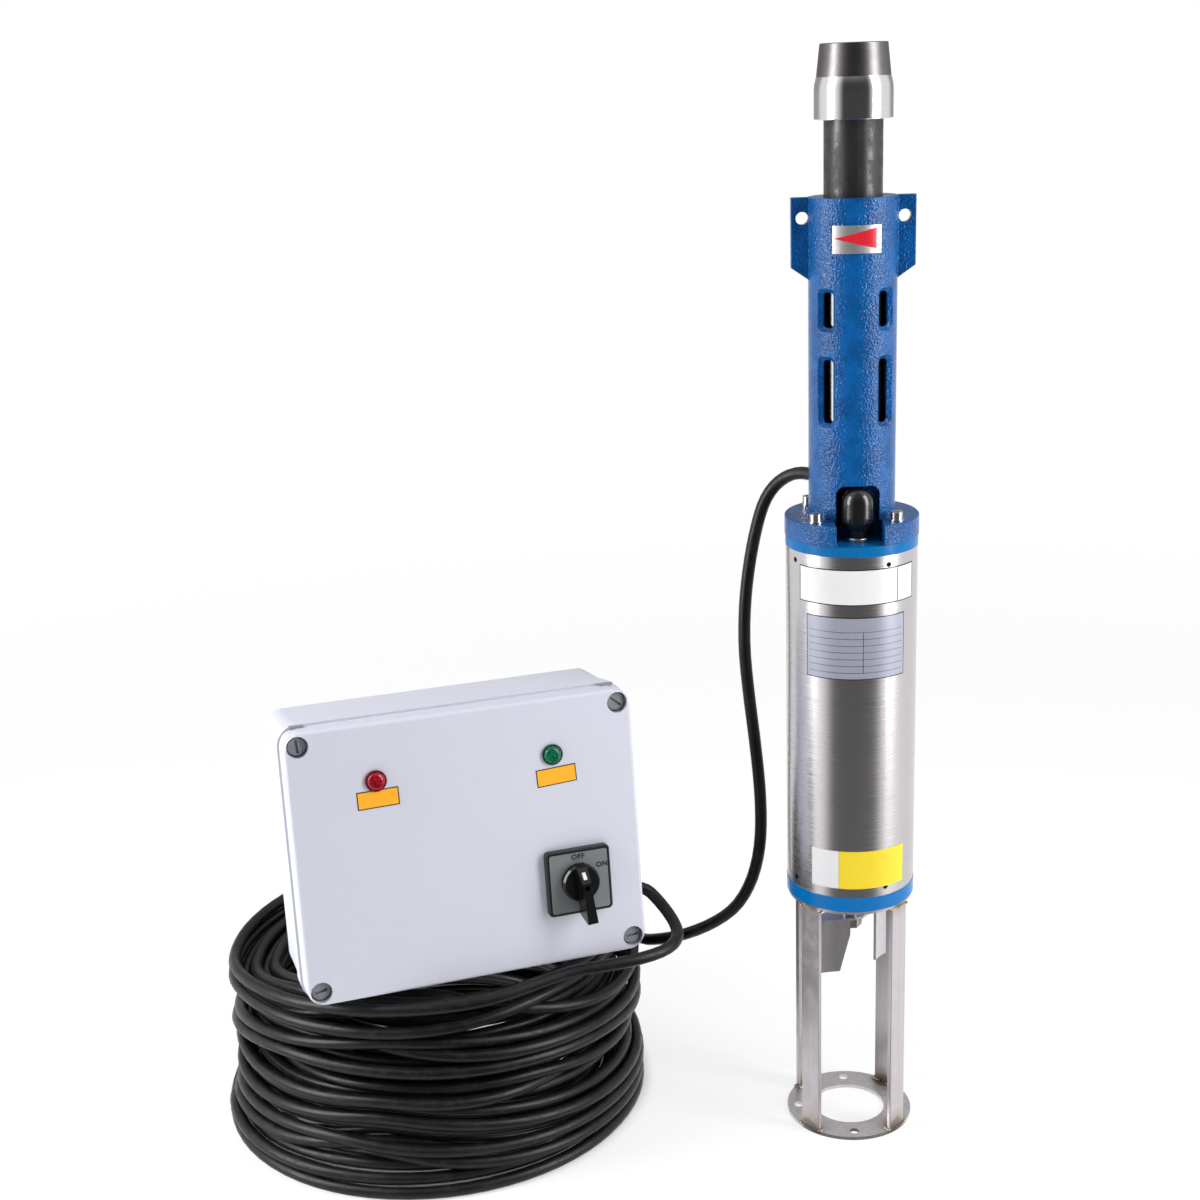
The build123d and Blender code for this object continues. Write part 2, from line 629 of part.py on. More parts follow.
with BuildPart() as discharge_socket:
    with BuildSketch(Plane.XZ):
        with BuildLine():
            shoulder = Line((SOCKET_D / 2, socket_bottom), (SOCKET_D / 2, taper_foot - SOCKET_ROUND_H))
            TangentArc(shoulder @ 1, (SOCKET_SHOULDER_D / 2, taper_foot), tangent=(0, 1))
            Polyline((SOCKET_SHOULDER_D / 2, taper_foot), (SOCKET_TOP_D / 2, socket_top),
                     (SOCKET_THREAD_D / 2, socket_top),
                     (SOCKET_THREAD_D / 2, socket_bottom + SOCKET_SEAT + 3),
                     (PIPE_D / 2 - PIPE_WALL, socket_bottom + SOCKET_SEAT + 3),
                     (PIPE_D / 2 - PIPE_WALL, socket_bottom + SOCKET_SEAT + SEAT_GAP),
                     (PIPE_D / 2 + SEAT_GAP, socket_bottom + SOCKET_SEAT + SEAT_GAP),
                     (PIPE_D / 2 + SEAT_GAP, socket_bottom), (SOCKET_D / 2, socket_bottom))
        make_face()
    revolve(axis=Axis.Z)
    rims = discharge_socket.edges().filter_by(GeomType.CIRCLE)
    chamfer(rims.filter_by_position(Axis.Z, socket_bottom - 0.1, socket_bottom + 0.1).sort_by(SortBy.RADIUS)[-1], 0.8)
    top_rims = rims.filter_by_position(Axis.Z, socket_top - 0.1, socket_top + 0.1)
    fillet(top_rims.sort_by(SortBy.RADIUS)[-1], 1.2)
keep("discharge_socket", discharge_socket.part)

# Cable outlet: gland ring and rubber boot that turns the cable out through the window
gland_spot = Vector(ARCH_X, BOOT_Y, head_top)
with BuildPart() as cable_gland:
    with BuildSketch(Plane(gland_spot)):
        Circle(GLAND_D / 2)
    extrude(amount=GLAND_H)
    chamfer(cable_gland.edges().group_by(Axis.Z)[-1], 0.8)
keep("cable_gland", cable_gland.part)

tail_heading = Vector(-0.572, 0.82, 0.30).normalized()
boot_heart = gland_spot + Vector(0, 0, GLAND_H + BOOT_H - BOOT_D / 2)
tail_plane = Plane(boot_heart, x_dir=tail_heading.cross(Vector(0, 0, 1)), z_dir=tail_heading)
with BuildPart() as cable_boot:
    with BuildSketch(Plane(gland_spot, x_dir=(1, 0, 0), z_dir=(0, -1, 0))):
        with BuildLine():
            neck = BOOT_NECK_D / 2
            body = BOOT_D / 2
            Polyline((0, GLAND_H), (neck, GLAND_H), (neck, GLAND_H + 7), (body, GLAND_H + 17),
                     (body, GLAND_H + BOOT_H - body))
            RadiusArc((body, GLAND_H + BOOT_H - body), (0, GLAND_H + BOOT_H), -body)
            Line((0, GLAND_H + BOOT_H), (0, GLAND_H))
        make_face()
    revolve(axis=Axis(gland_spot, (0, 0, 1)))
    with BuildSketch(tail_plane):
        Circle(BOOT_D / 2 - 3)
    with BuildSketch(tail_plane.offset(BOOT_TAIL - 12)):
        Circle(BOOT_TAIL_D / 2)
    loft()
    with BuildSketch(tail_plane.offset(BOOT_TAIL - 12)):
        Circle(BOOT_TAIL_D / 2)
    extrude(amount=12)
keep("cable_boot", cable_boot.part)

# Cable coil: one ring of the coil's outer shape
coil_in, coil_out = COIL_INNER_D / 2, COIL_OUTER_D / 2
coil_plane = Plane((COIL_X, COIL_Y, 0), x_dir=(1, 0, 0), z_dir=(0, -1, 0))
with BuildPart() as cable_coil:
    with BuildSketch(coil_plane):
        with BuildLine():
            Polyline((coil_in + 5, 0), (coil_out - 5, 0), (coil_out, 6), (coil_out, COIL_H - 16),
                     (coil_out - 5, COIL_H - 5), (coil_out - 16, COIL_H), (coil_in + 8, COIL_H),
                     (coil_in, COIL_H - 8), (coil_in, 6), close=True)
        make_face()
    revolve(axis=Axis((COIL_X, COIL_Y, 0), (0, 0, 1)))
keep("cable_coil", cable_coil.part)

# Control box, drawn in its own plane: X to the right, Y up the lid, Z out of it
turn, lean = radians(BOX_TURN), radians(BOX_LEAN)
box_back_half = BOX_H / 2 - BOX_DRAFT
box_z = COIL_H + RUN_GAP + box_back_half * cos(lean) + BOX_D * sin(lean)
box_plane = Plane((BOX_X, BOX_Y, box_z), x_dir=(cos(turn), sin(turn), 0),
                  z_dir=(sin(turn) * cos(lean), -cos(turn) * cos(lean), sin(lean)))
screw_x, screw_y = BOX_W / 2 - LID_SCREW_INSET, BOX_H / 2 - LID_SCREW_INSET
base_depth = BOX_D - LID_DEPTH
post_d = 18.0
with BuildPart() as box_base:
    with BuildSketch(box_plane.offset(-BOX_D)):
        RectangleRounded(BOX_W - 2 * BOX_DRAFT, 2 * box_back_half, BOX_CORNER - 2)
    with BuildSketch(box_plane.offset(-LID_DEPTH - LID_GROOVE_H)):
        RectangleRounded(BOX_W, BOX_H, BOX_CORNER)
    loft()
    with BuildSketch(box_plane.offset(-LID_DEPTH - LID_GROOVE_H)):
        RectangleRounded(BOX_W - 2 * LID_GROOVE, BOX_H - 2 * LID_GROOVE, BOX_CORNER - LID_GROOVE)
    extrude(amount=LID_GROOVE_H)
    with BuildSketch(box_plane.offset(-BOX_D + BOX_WALL)):
        RectangleRounded(BOX_W - 2 * (BOX_WALL + BOX_DRAFT), BOX_H - 2 * (BOX_WALL + BOX_DRAFT), BOX_CORNER - BOX_WALL)
    extrude(amount=BOX_D, mode=Mode.SUBTRACT)
    with BuildSketch(box_plane.offset(-BOX_D)):
        with GridLocations(2 * screw_x, 2 * screw_y, 2, 2):
            Circle(post_d / 2)
    extrude(amount=base_depth - 1)
    with BuildSketch(box_plane.offset(-BOX_D + BOX_WALL + 20)):
        with GridLocations(2 * screw_x, 2 * screw_y, 2, 2):
            Circle(3)
    extrude(amount=BOX_D, mode=Mode.SUBTRACT)
    gland_hole = box_plane.location * Location((BOX_W / 2 - 12, BOX_GLAND_Y, BOX_GLAND_Z), (0, 90, 0))
    with BuildSketch(Plane(gland_hole)):
        Circle(BOX_GLAND_D / 2 + SEAT_GAP)
    extrude(amount=20, mode=Mode.SUBTRACT)
keep("box_base", box_base.part)

with BuildPart() as box_lid:
    with BuildSketch(box_plane.offset(-LID_DEPTH)):
        RectangleRounded(BOX_W + 2 * LID_RIM, BOX_H + 2 * LID_RIM, BOX_CORNER + LID_RIM)
    extrude(amount=LID_RIM_H)
    with BuildSketch(box_plane.offset(-LID_DEPTH)):
        RectangleRounded(BOX_W, BOX_H, BOX_CORNER)
    extrude(amount=LID_DEPTH)
    fillet(box_lid.faces().sort_by(Axis(box_plane.origin, box_plane.z_dir))[-1].edges(), LID_FACE_R)
    with BuildSketch(box_plane.offset(-LID_DEPTH)):
        RectangleRounded(BOX_W - 2 * BOX_WALL, BOX_H - 2 * BOX_WALL, BOX_CORNER - BOX_WALL)
    extrude(amount=LID_DEPTH - BOX_WALL, mode=Mode.SUBTRACT)
    with BuildSketch(box_plane.offset(-LID_DEPTH)):
        with GridLocations(2 * screw_x, 2 * screw_y, 2, 2):
            Circle(LID_SCREW_RECESS_D / 2 + 2)
    extrude(amount=LID_DEPTH - BOX_WALL)
    with BuildSketch(box_plane.offset(-LID_SCREW_DEPTH - 6)):
        with GridLocations(2 * screw_x, 2 * screw_y, 2, 2):
            Circle(LID_SCREW_RECESS_D / 2)
    extrude(amount=20, mode=Mode.SUBTRACT)
    with BuildSketch(box_plane.offset(-LID_DEPTH - 1)):
        with GridLocations(2 * screw_x, 2 * screw_y, 2, 2):
            Circle(4)
        with Locations((-LAMP_X, LAMP_Y), (LAMP_X, LAMP_Y)):
            Circle(LAMP_D / 2 + SEAT_GAP)
        with Locations((SWITCH_X, SWITCH_Y)):
            Circle(SWITCH_SHAFT_D / 2 + 3)
    extrude(amount=LID_DEPTH + 10, mode=Mode.SUBTRACT)
keep("box_lid", box_lid.part)

with BuildPart() as lid_screws:
    with BuildSketch(box_plane.offset(-LID_SCREW_DEPTH - 6)):
        with GridLocations(2 * screw_x, 2 * screw_y, 2, 2):
            Circle(LID_SCREW_D / 2)
    extrude(amount=6)
    for spot, slot_turn in zip(GridLocations(2 * screw_x, 2 * screw_y, 2, 2), LID_SCREW_TURNS):
        with BuildSketch(box_plane.offset(-LID_SCREW_DEPTH - 2.5)):
            with Locations(spot):
                SlotOverall(LID_SCREW_D * 0.78, 2.6, rotation=slot_turn)
        extrude(amount=5, mode=Mode.SUBTRACT)
    with BuildSketch(box_plane.offset(-BOX_D + BOX_WALL + 24)):
        with GridLocations(2 * screw_x, 2 * screw_y, 2, 2):
            Circle(3 - SEAT_GAP)
    extrude(amount=BOX_D - BOX_WALL - 24 - LID_SCREW_DEPTH - 5)
keep("lid_screws", lid_screws.part)

# Control box: hinge plugs on the lid's upper side
with BuildPart() as hinge_plugs:
    with BuildSketch(box_plane.offset(-LID_DEPTH + LID_RIM_H)):
        with Locations((-screw_x + 4, BOX_H / 2 + LID_RIM / 2), (screw_x - 4, BOX_H / 2 + LID_RIM / 2)):
            Rectangle(15, LID_RIM)
    extrude(amount=7)
keep("hinge_plugs", hinge_plugs.part)

# Control box: two indicator lamps
lamps = {"red_lamp": -LAMP_X, "green_lamp": LAMP_X}
for lamp_name, lamp_x in lamps.items():
    lamp_plane = Plane(box_plane.location * Location((lamp_x, LAMP_Y, 0)))
    with BuildPart() as lamp_bezel:
        with BuildSketch(lamp_plane):
            Circle(LAMP_BEZEL_D / 2)
            Circle(LAMP_D / 2 + SEAT_GAP, mode=Mode.SUBTRACT)
        extrude(amount=2.5)
    keep(lamp_name + "_bezel", lamp_bezel.part)
    with BuildPart() as lamp:
        with BuildSketch(lamp_plane.offset(-BOX_WALL - 26)):
            Circle(LAMP_D / 2)
        extrude(amount=BOX_WALL + 26 + LAMP_DOME)
        top_edge = lamp.edges().sort_by(Axis(lamp_plane.origin, lamp_plane.z_dir))[-1]
        fillet(top_edge, LAMP_DOME - 1)
    keep(lamp_name + "_lens", lamp.part)

# Control box: rotary switch with its plate, body and knob
switch_plane = Plane(box_plane.location * Location((SWITCH_X, SWITCH_Y, 0)))
with BuildPart() as switch_plate:
    with BuildSketch(switch_plane):
        RectangleRounded(SWITCH_SIDE, SWITCH_SIDE, 5)
        Circle(SWITCH_SHAFT_D / 2 + RUN_GAP, mode=Mode.SUBTRACT)
    extrude(amount=SWITCH_T)
    outer = switch_plate.faces().sort_by(Axis(switch_plane.origin, switch_plane.z_dir))[-1].outer_wire().edges()
    chamfer(outer, 1.5)
keep("switch_plate", switch_plate.part)

with BuildPart() as switch_body:
    with BuildSketch(switch_plane.offset(-BOX_WALL)):
        RectangleRounded(SWITCH_BODY_SIDE, SWITCH_BODY_SIDE, 4)
        Circle(SWITCH_SHAFT_D / 2 + RUN_GAP, mode=Mode.SUBTRACT)
    extrude(amount=-SWITCH_BODY_H)
keep("switch_body", switch_body.part)

knob_plane = Plane(switch_plane.offset(SWITCH_T + RUN_GAP).location * Location((0, 0, 0), (0, 0, KNOB_REST)))
side_plane = Plane(knob_plane.origin, x_dir=knob_plane.y_dir, z_dir=knob_plane.x_dir)
with BuildPart() as switch_knob:
    with BuildSketch(side_plane):
        with BuildLine():
            Polyline((KNOB_TIP, 3), (KNOB_TIP - 2, KNOB_H * 0.5), (KNOB_TIP * 0.25, KNOB_H * 0.9),
                     (-KNOB_TAIL * 0.2, KNOB_H * 0.92), (-KNOB_TAIL, KNOB_H), (-KNOB_TAIL + 5, 3), close=True)
        make_face()
    extrude(amount=KNOB_GRIP_W, both=True)
    with BuildSketch(knob_plane):
        with BuildLine():
            Polyline((-KNOB_GRIP_W / 2, KNOB_TIP + 2), (KNOB_GRIP_W / 2, KNOB_TIP + 2), (KNOB_WAIST_W / 2, 0),
                     (KNOB_GRIP_W / 2, -KNOB_TAIL - 2), (-KNOB_GRIP_W / 2, -KNOB_TAIL - 2),
                     (-KNOB_WAIST_W / 2, 0), close=True)
        make_face()
    extrude(amount=KNOB_H + 5, mode=Mode.INTERSECT)
    fillet(switch_knob.edges().filter_by(Axis(knob_plane.origin, knob_plane.x_dir)), 1)
    with BuildSketch(knob_plane.offset(KNOB_H * 0.7)):
        Circle(KNOB_SCREW_D / 2)
    extrude(amount=KNOB_H, mode=Mode.SUBTRACT)
    with BuildSketch(knob_plane):
        Circle(KNOB_D / 2)
    with BuildSketch(knob_plane.offset(KNOB_BASE_H - 2.5)):
        Circle(KNOB_D / 2)
    loft()
    with BuildSketch(knob_plane.offset(KNOB_BASE_H - 2.5)):
        Circle(KNOB_D / 2)
    extrude(amount=2.5, taper=35)
    with BuildSketch(switch_plane.offset(-40)):
        Circle(SWITCH_SHAFT_D / 2)
    extrude(amount=42 + SWITCH_T)
keep("switch_knob", switch_knob.part)

# Control box: cable gland on the right-hand wall
gland_plane = Plane(box_plane.location * Location((BOX_W / 2 - 10, BOX_GLAND_Y, BOX_GLAND_Z), (0, 90, 0)))
with BuildPart() as box_gland:
    with BuildSketch(gland_plane):
        Circle(BOX_GLAND_D / 2)
    extrude(amount=14)
    with BuildSketch(gland_plane.offset(10)):
        RegularPolygon(15, 6)
    extrude(amount=7)
    with BuildSketch(gland_plane.offset(17)):
        Circle(13)
    extrude(amount=9)
    chamfer(box_gland.faces().sort_by(Axis(gland_plane.origin, gland_plane.z_dir))[-1].edges(), 3)
keep("box_gland", box_gland.part)

# Control box: mounting plate with contactor and terminal strip
with BuildPart() as mounting_plate:
    with BuildSketch(box_plane.offset(-BOX_D + BOX_WALL + 0.05)):
        RectangleRounded(BOX_W - 2 * PLATE_MARGIN, BOX_H - 2 * PLATE_MARGIN, 6)
    extrude(amount=PLATE_T)
keep("mounting_plate", mounting_plate.part)

plate_face = -BOX_D + BOX_WALL + SEAT_GAP + PLATE_T + SEAT_GAP
with BuildPart() as contactor:
    with BuildSketch(box_plane.offset(plate_face)):
        with Locations((CONTACTOR_X, CONTACTOR_Y)):
            Rectangle(CONTACTOR_W, CONTACTOR_L)
    extrude(amount=40)
    with BuildSketch(box_plane.offset(plate_face + 40)):
        with Locations((CONTACTOR_X, CONTACTOR_Y)):
            Rectangle(CONTACTOR_W * 0.85, CONTACTOR_L * 0.6)
    extrude(amount=20)
keep("contactor", contactor.part)

with BuildPart() as terminal_strip:
    with BuildSketch(box_plane.offset(plate_face)):
        with Locations((0, TERMINAL_Y)):
            Rectangle(TERMINAL_W, TERMINAL_L)
    extrude(amount=30)
    with BuildSketch(box_plane.offset(plate_face + 22)):
        with Locations((0, TERMINAL_Y)):
            with GridLocations(TERMINAL_W / 10, 10, 9, 1):
                Rectangle(TERMINAL_W / 15, TERMINAL_L * 0.67)
    extrude(amount=10, mode=Mode.SUBTRACT)
keep("terminal_strip", terminal_strip.part)


def bend_radii(route):
    """The radius of each corner: 0.45 of the shorter run over the tangent of half the turn."""
    radii = []
    for before, here, after in zip(route, route[1:], route[2:]):
        run_in, run_out = here - before, after - here
        turn_angle = radians(run_in.get_angle(run_out))
        radii.append(0.45 * min(run_in.length, run_out.length) / tan(turn_angle / 2))
    return radii


def cable_tube(name, route):
    """A round tube along straight runs joined by arcs; its volume is compared with section times length."""
    radii = bend_radii(route)
    with BuildPart() as tube:
        with BuildLine() as path:
            FilletPolyline(*route, radius=radii)
        with BuildSketch(Plane(route[0], z_dir=route[1] - route[0])):
            Circle(CABLE_D / 2)
        sweep(path=path.wires()[0])
    length = path.wires()[0].length
    print(name, "radii", [round(r) for r in radii], "length", round(length),
          "volume ratio", round(tube.part.volume / (pi * CABLE_D ** 2 / 4 * length), 4))
    keep(name, tube.part)


# Supply cable: from the boot's tail down beside the pump to the coil
cable_start = boot_heart + tail_heading * BOOT_TAIL
coil_side = COIL_OUTER_D / 2 + CABLE_D / 2 + RUN_GAP
supply_route = [
    cable_start,
    cable_start + tail_heading * 27,
    Vector(-43, 25, 760.5),
    Vector(-59.5, 40.9, 757.5),
    Vector(-76.6, 51.5, 745),
    Vector(-90.3, 56, 724),
    Vector(-99.6, 56.8, 691.5),
    Vector(-107.6, 55.6, 650.8),
    Vector(-113, 53, 606),
    Vector(-114.5, 50, 556),
    Vector(-110, 47, 503),
    Vector(-104, 45, 450),
    Vector(-99, 44, 398),
    Vector(-97, 45, 350),
    Vector(-99.5, 47, 307),
    Vector(-109, 51, 267),
    Vector(-127, 57, 232),
    Vector(-156, 66, 207),
    Vector(-192, 80, 186),
    Vector(-224, 107, 168),
    Vector(COIL_X, COIL_Y, 152) + Vector(coil_side * cos(radians(14)), coil_side * sin(radians(14)), 0),
]
cable_tube("supply_cable", supply_route)

# Supply cable: the last stretch, from the coil's top round to the control box
box_exit = gland_plane.offset(26)


def on_box(x, y, z):
    """A point given in the box's own plane."""
    return box_plane.from_local_coords(Vector(x, y, z))


tail_route = [
    box_exit.origin,
    on_box(BOX_W / 2 + 30, BOX_GLAND_Y, BOX_GLAND_Z),
    on_box(BOX_W / 2 + 44, -112, -75),
    on_box(BOX_W / 2 + 52, -119, -57),
    on_box(BOX_W / 2 + 53, -128, -34),
    on_box(BOX_W / 2 + 45, -138, -9),
    on_box(BOX_W / 2 + 23, -147, 10),
    on_box(BOX_W / 2 - 17, -153, 17),
    on_box(BOX_W / 2 - 58, -155, 15),
    on_box(BOX_W / 2 - 98, -156.5, 11),
]
cable_tube("box_cable", tail_route)

os.makedirs("parts", exist_ok=True)
for node_name, node_part in parts.items():
    export_step(node_part, f"parts/{node_name}.step")
print(len(parts), "nodes; box centre z", round(box_z, 1), "top", round(socket_top, 1))
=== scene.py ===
"""Looks of a submersible borehole screw pump, its supply cable and its control box.

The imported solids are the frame. This script lays the cable, dresses each solid, and adds the
plates, weld beads and small parts that sit on them. Lengths are in metres. Angles that are
fields or arguments are in degrees, unless said otherwise.
"""

import logging
import math
import random
from dataclasses import dataclass
from enum import Enum
from typing import Callable, Sequence

import bpy
from mathutils import Matrix, Vector

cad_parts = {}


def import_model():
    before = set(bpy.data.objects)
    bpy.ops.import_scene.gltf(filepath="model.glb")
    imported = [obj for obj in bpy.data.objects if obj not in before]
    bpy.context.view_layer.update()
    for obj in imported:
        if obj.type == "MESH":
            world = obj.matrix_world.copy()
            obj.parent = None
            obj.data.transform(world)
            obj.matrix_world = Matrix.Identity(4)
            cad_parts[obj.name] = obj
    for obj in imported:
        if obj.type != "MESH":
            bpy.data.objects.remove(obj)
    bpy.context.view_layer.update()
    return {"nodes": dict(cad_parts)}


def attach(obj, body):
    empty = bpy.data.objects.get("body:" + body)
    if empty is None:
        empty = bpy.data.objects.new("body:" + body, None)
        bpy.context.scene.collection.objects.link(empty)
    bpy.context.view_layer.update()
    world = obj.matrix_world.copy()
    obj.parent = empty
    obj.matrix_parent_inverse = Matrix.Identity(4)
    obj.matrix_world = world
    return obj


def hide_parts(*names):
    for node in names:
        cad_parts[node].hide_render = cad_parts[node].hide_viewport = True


log = logging.getLogger("pump_looks")

Colour = tuple[float, float, float]
Point = tuple[float, float, float]
Pair = tuple[float, float]
Piece = bpy.types.Object
Node = bpy.types.Node
Socket = bpy.types.NodeSocket
PUMP_SET = "pump_set"
SWITCH = "rotary_switch"
# The sharpest bend that a wrapped plate is shaded smooth across
CREASE = 30.0


# Modelling helpers


def clear_selection() -> None:
    """Leaves nothing selected, in object mode."""
    if bpy.context.object and bpy.context.object.mode != "OBJECT":
        bpy.ops.object.mode_set(mode="OBJECT")
    bpy.ops.object.select_all(action="DESELECT")


def hold(piece: Piece) -> Piece:
    """Selects one piece alone, makes it active and returns it."""
    clear_selection()
    piece.select_set(True)
    bpy.context.view_layer.objects.active = piece
    return piece


def added(name: str) -> Piece:
    """Names the primitive that was just added, and returns it selected alone."""
    piece = bpy.context.object
    piece.name = name
    piece.data.name = name
    return hold(piece)


def settle(piece: Piece) -> Piece:
    """Moves a piece's place, turn and scale into its mesh, and returns it."""
    hold(piece)
    bpy.ops.object.transform_apply(location=True, rotation=True, scale=True)
    return piece


def edit_all(piece: Piece) -> None:
    """Enters edit mode in face select, with the whole piece selected."""
    hold(piece)
    bpy.context.tool_settings.mesh_select_mode = (False, False, True)
    bpy.ops.object.mode_set(mode="EDIT")
    bpy.ops.mesh.select_all(action="SELECT")


def leave_edit() -> None:
    """Goes back to object mode."""
    bpy.ops.object.mode_set(mode="OBJECT")


def cut_away(place: Vector, outwards: Vector) -> None:
    """Cuts the piece that is being edited by a plane and drops the outer side."""
    bpy.ops.mesh.select_all(action="SELECT")
    bpy.ops.mesh.bisect(plane_co=place, plane_no=outwards, clear_outer=True)


def add_border(sheet: Piece, width: float) -> None:
    """Parts a border from a sheet's edge, which takes the second material.

    Args:
        sheet: a sheet without thickness.
        width: the border's width.
    """
    edit_all(sheet)
    bpy.ops.mesh.inset(thickness=width, use_boundary=True)
    leave_edit()
    for face in sheet.data.polygons:
        face.material_index = 0 if face.select else 1


def thicken(sheet: Piece, thick: float, *finishes: "Finish") -> Piece:
    """Gives a sheet its thickness, outwards, and its finishes."""
    apply_modifier(sheet, "SOLIDIFY", thickness=thick, offset=1.0)
    return dress(sheet, *finishes)


def apply_modifier(piece: Piece, kind: str, **settings: object) -> None:
    """Adds one modifier with its settings and applies it.

    Args:
        piece: the object to finish.
        kind: the modifier's type, such as SOLIDIFY.
        **settings: the modifier's properties.
    """
    hold(piece)
    modifier = piece.modifiers.new(kind.lower(), kind)
    for key, value in settings.items():
        setattr(modifier, key, value)
    bpy.ops.object.modifier_apply(modifier=modifier.name)


def smooth(piece: Piece, angle: float) -> None:
    """Shades a piece smooth except across edges sharper than an angle."""
    hold(piece)
    bpy.ops.object.shade_smooth_by_angle(angle=math.radians(angle))


def join(pieces: Sequence[Piece], name: str) -> Piece:
    """Joins several pieces into one.

    Args:
        pieces: the objects to join.
        name: the joined piece's name.

    Returns:
        The joined object.
    """
    clear_selection()
    for piece in pieces:
        piece.select_set(True)
    bpy.context.view_layer.objects.active = pieces[0]
    bpy.ops.object.join()
    return added(name)


def copy_piece(piece: Piece, place: Matrix) -> Piece:
    """Returns a moved copy of a piece, with its place in a mesh of its own."""
    twin = piece.copy()
    twin.data = piece.data.copy()
    bpy.context.scene.collection.objects.link(twin)
    twin.data.transform(place)
    return twin


def dress(piece: Piece, *finishes: "Finish") -> Piece:
    """Gives a piece its finishes in slot order.

    Args:
        piece: the object to dress.
        *finishes: one finish for each slot.

    Returns:
        The same object.
    """
    picks = [face.material_index for face in piece.data.polygons] if piece.type == "MESH" else []
    piece.data.materials.clear()
    for finish in finishes:
        piece.data.materials.append(finish.material())
    if len(finishes) > 1:
        piece.data.polygons.foreach_set("material_index", picks)
    return piece


def mount(piece: Piece, body: str) -> None:
    """Fixes a finished piece to its body, and reports it."""
    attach(piece, body)
    log.info("%s rides on %s", piece.name, body)


def ease(share: float) -> float:
    """Returns a soft step from 0 to 1 for a share, held at both ends."""
    share = min(1.0, max(0.0, share))
    return share * share * (3 - 2 * share)


# Node helpers


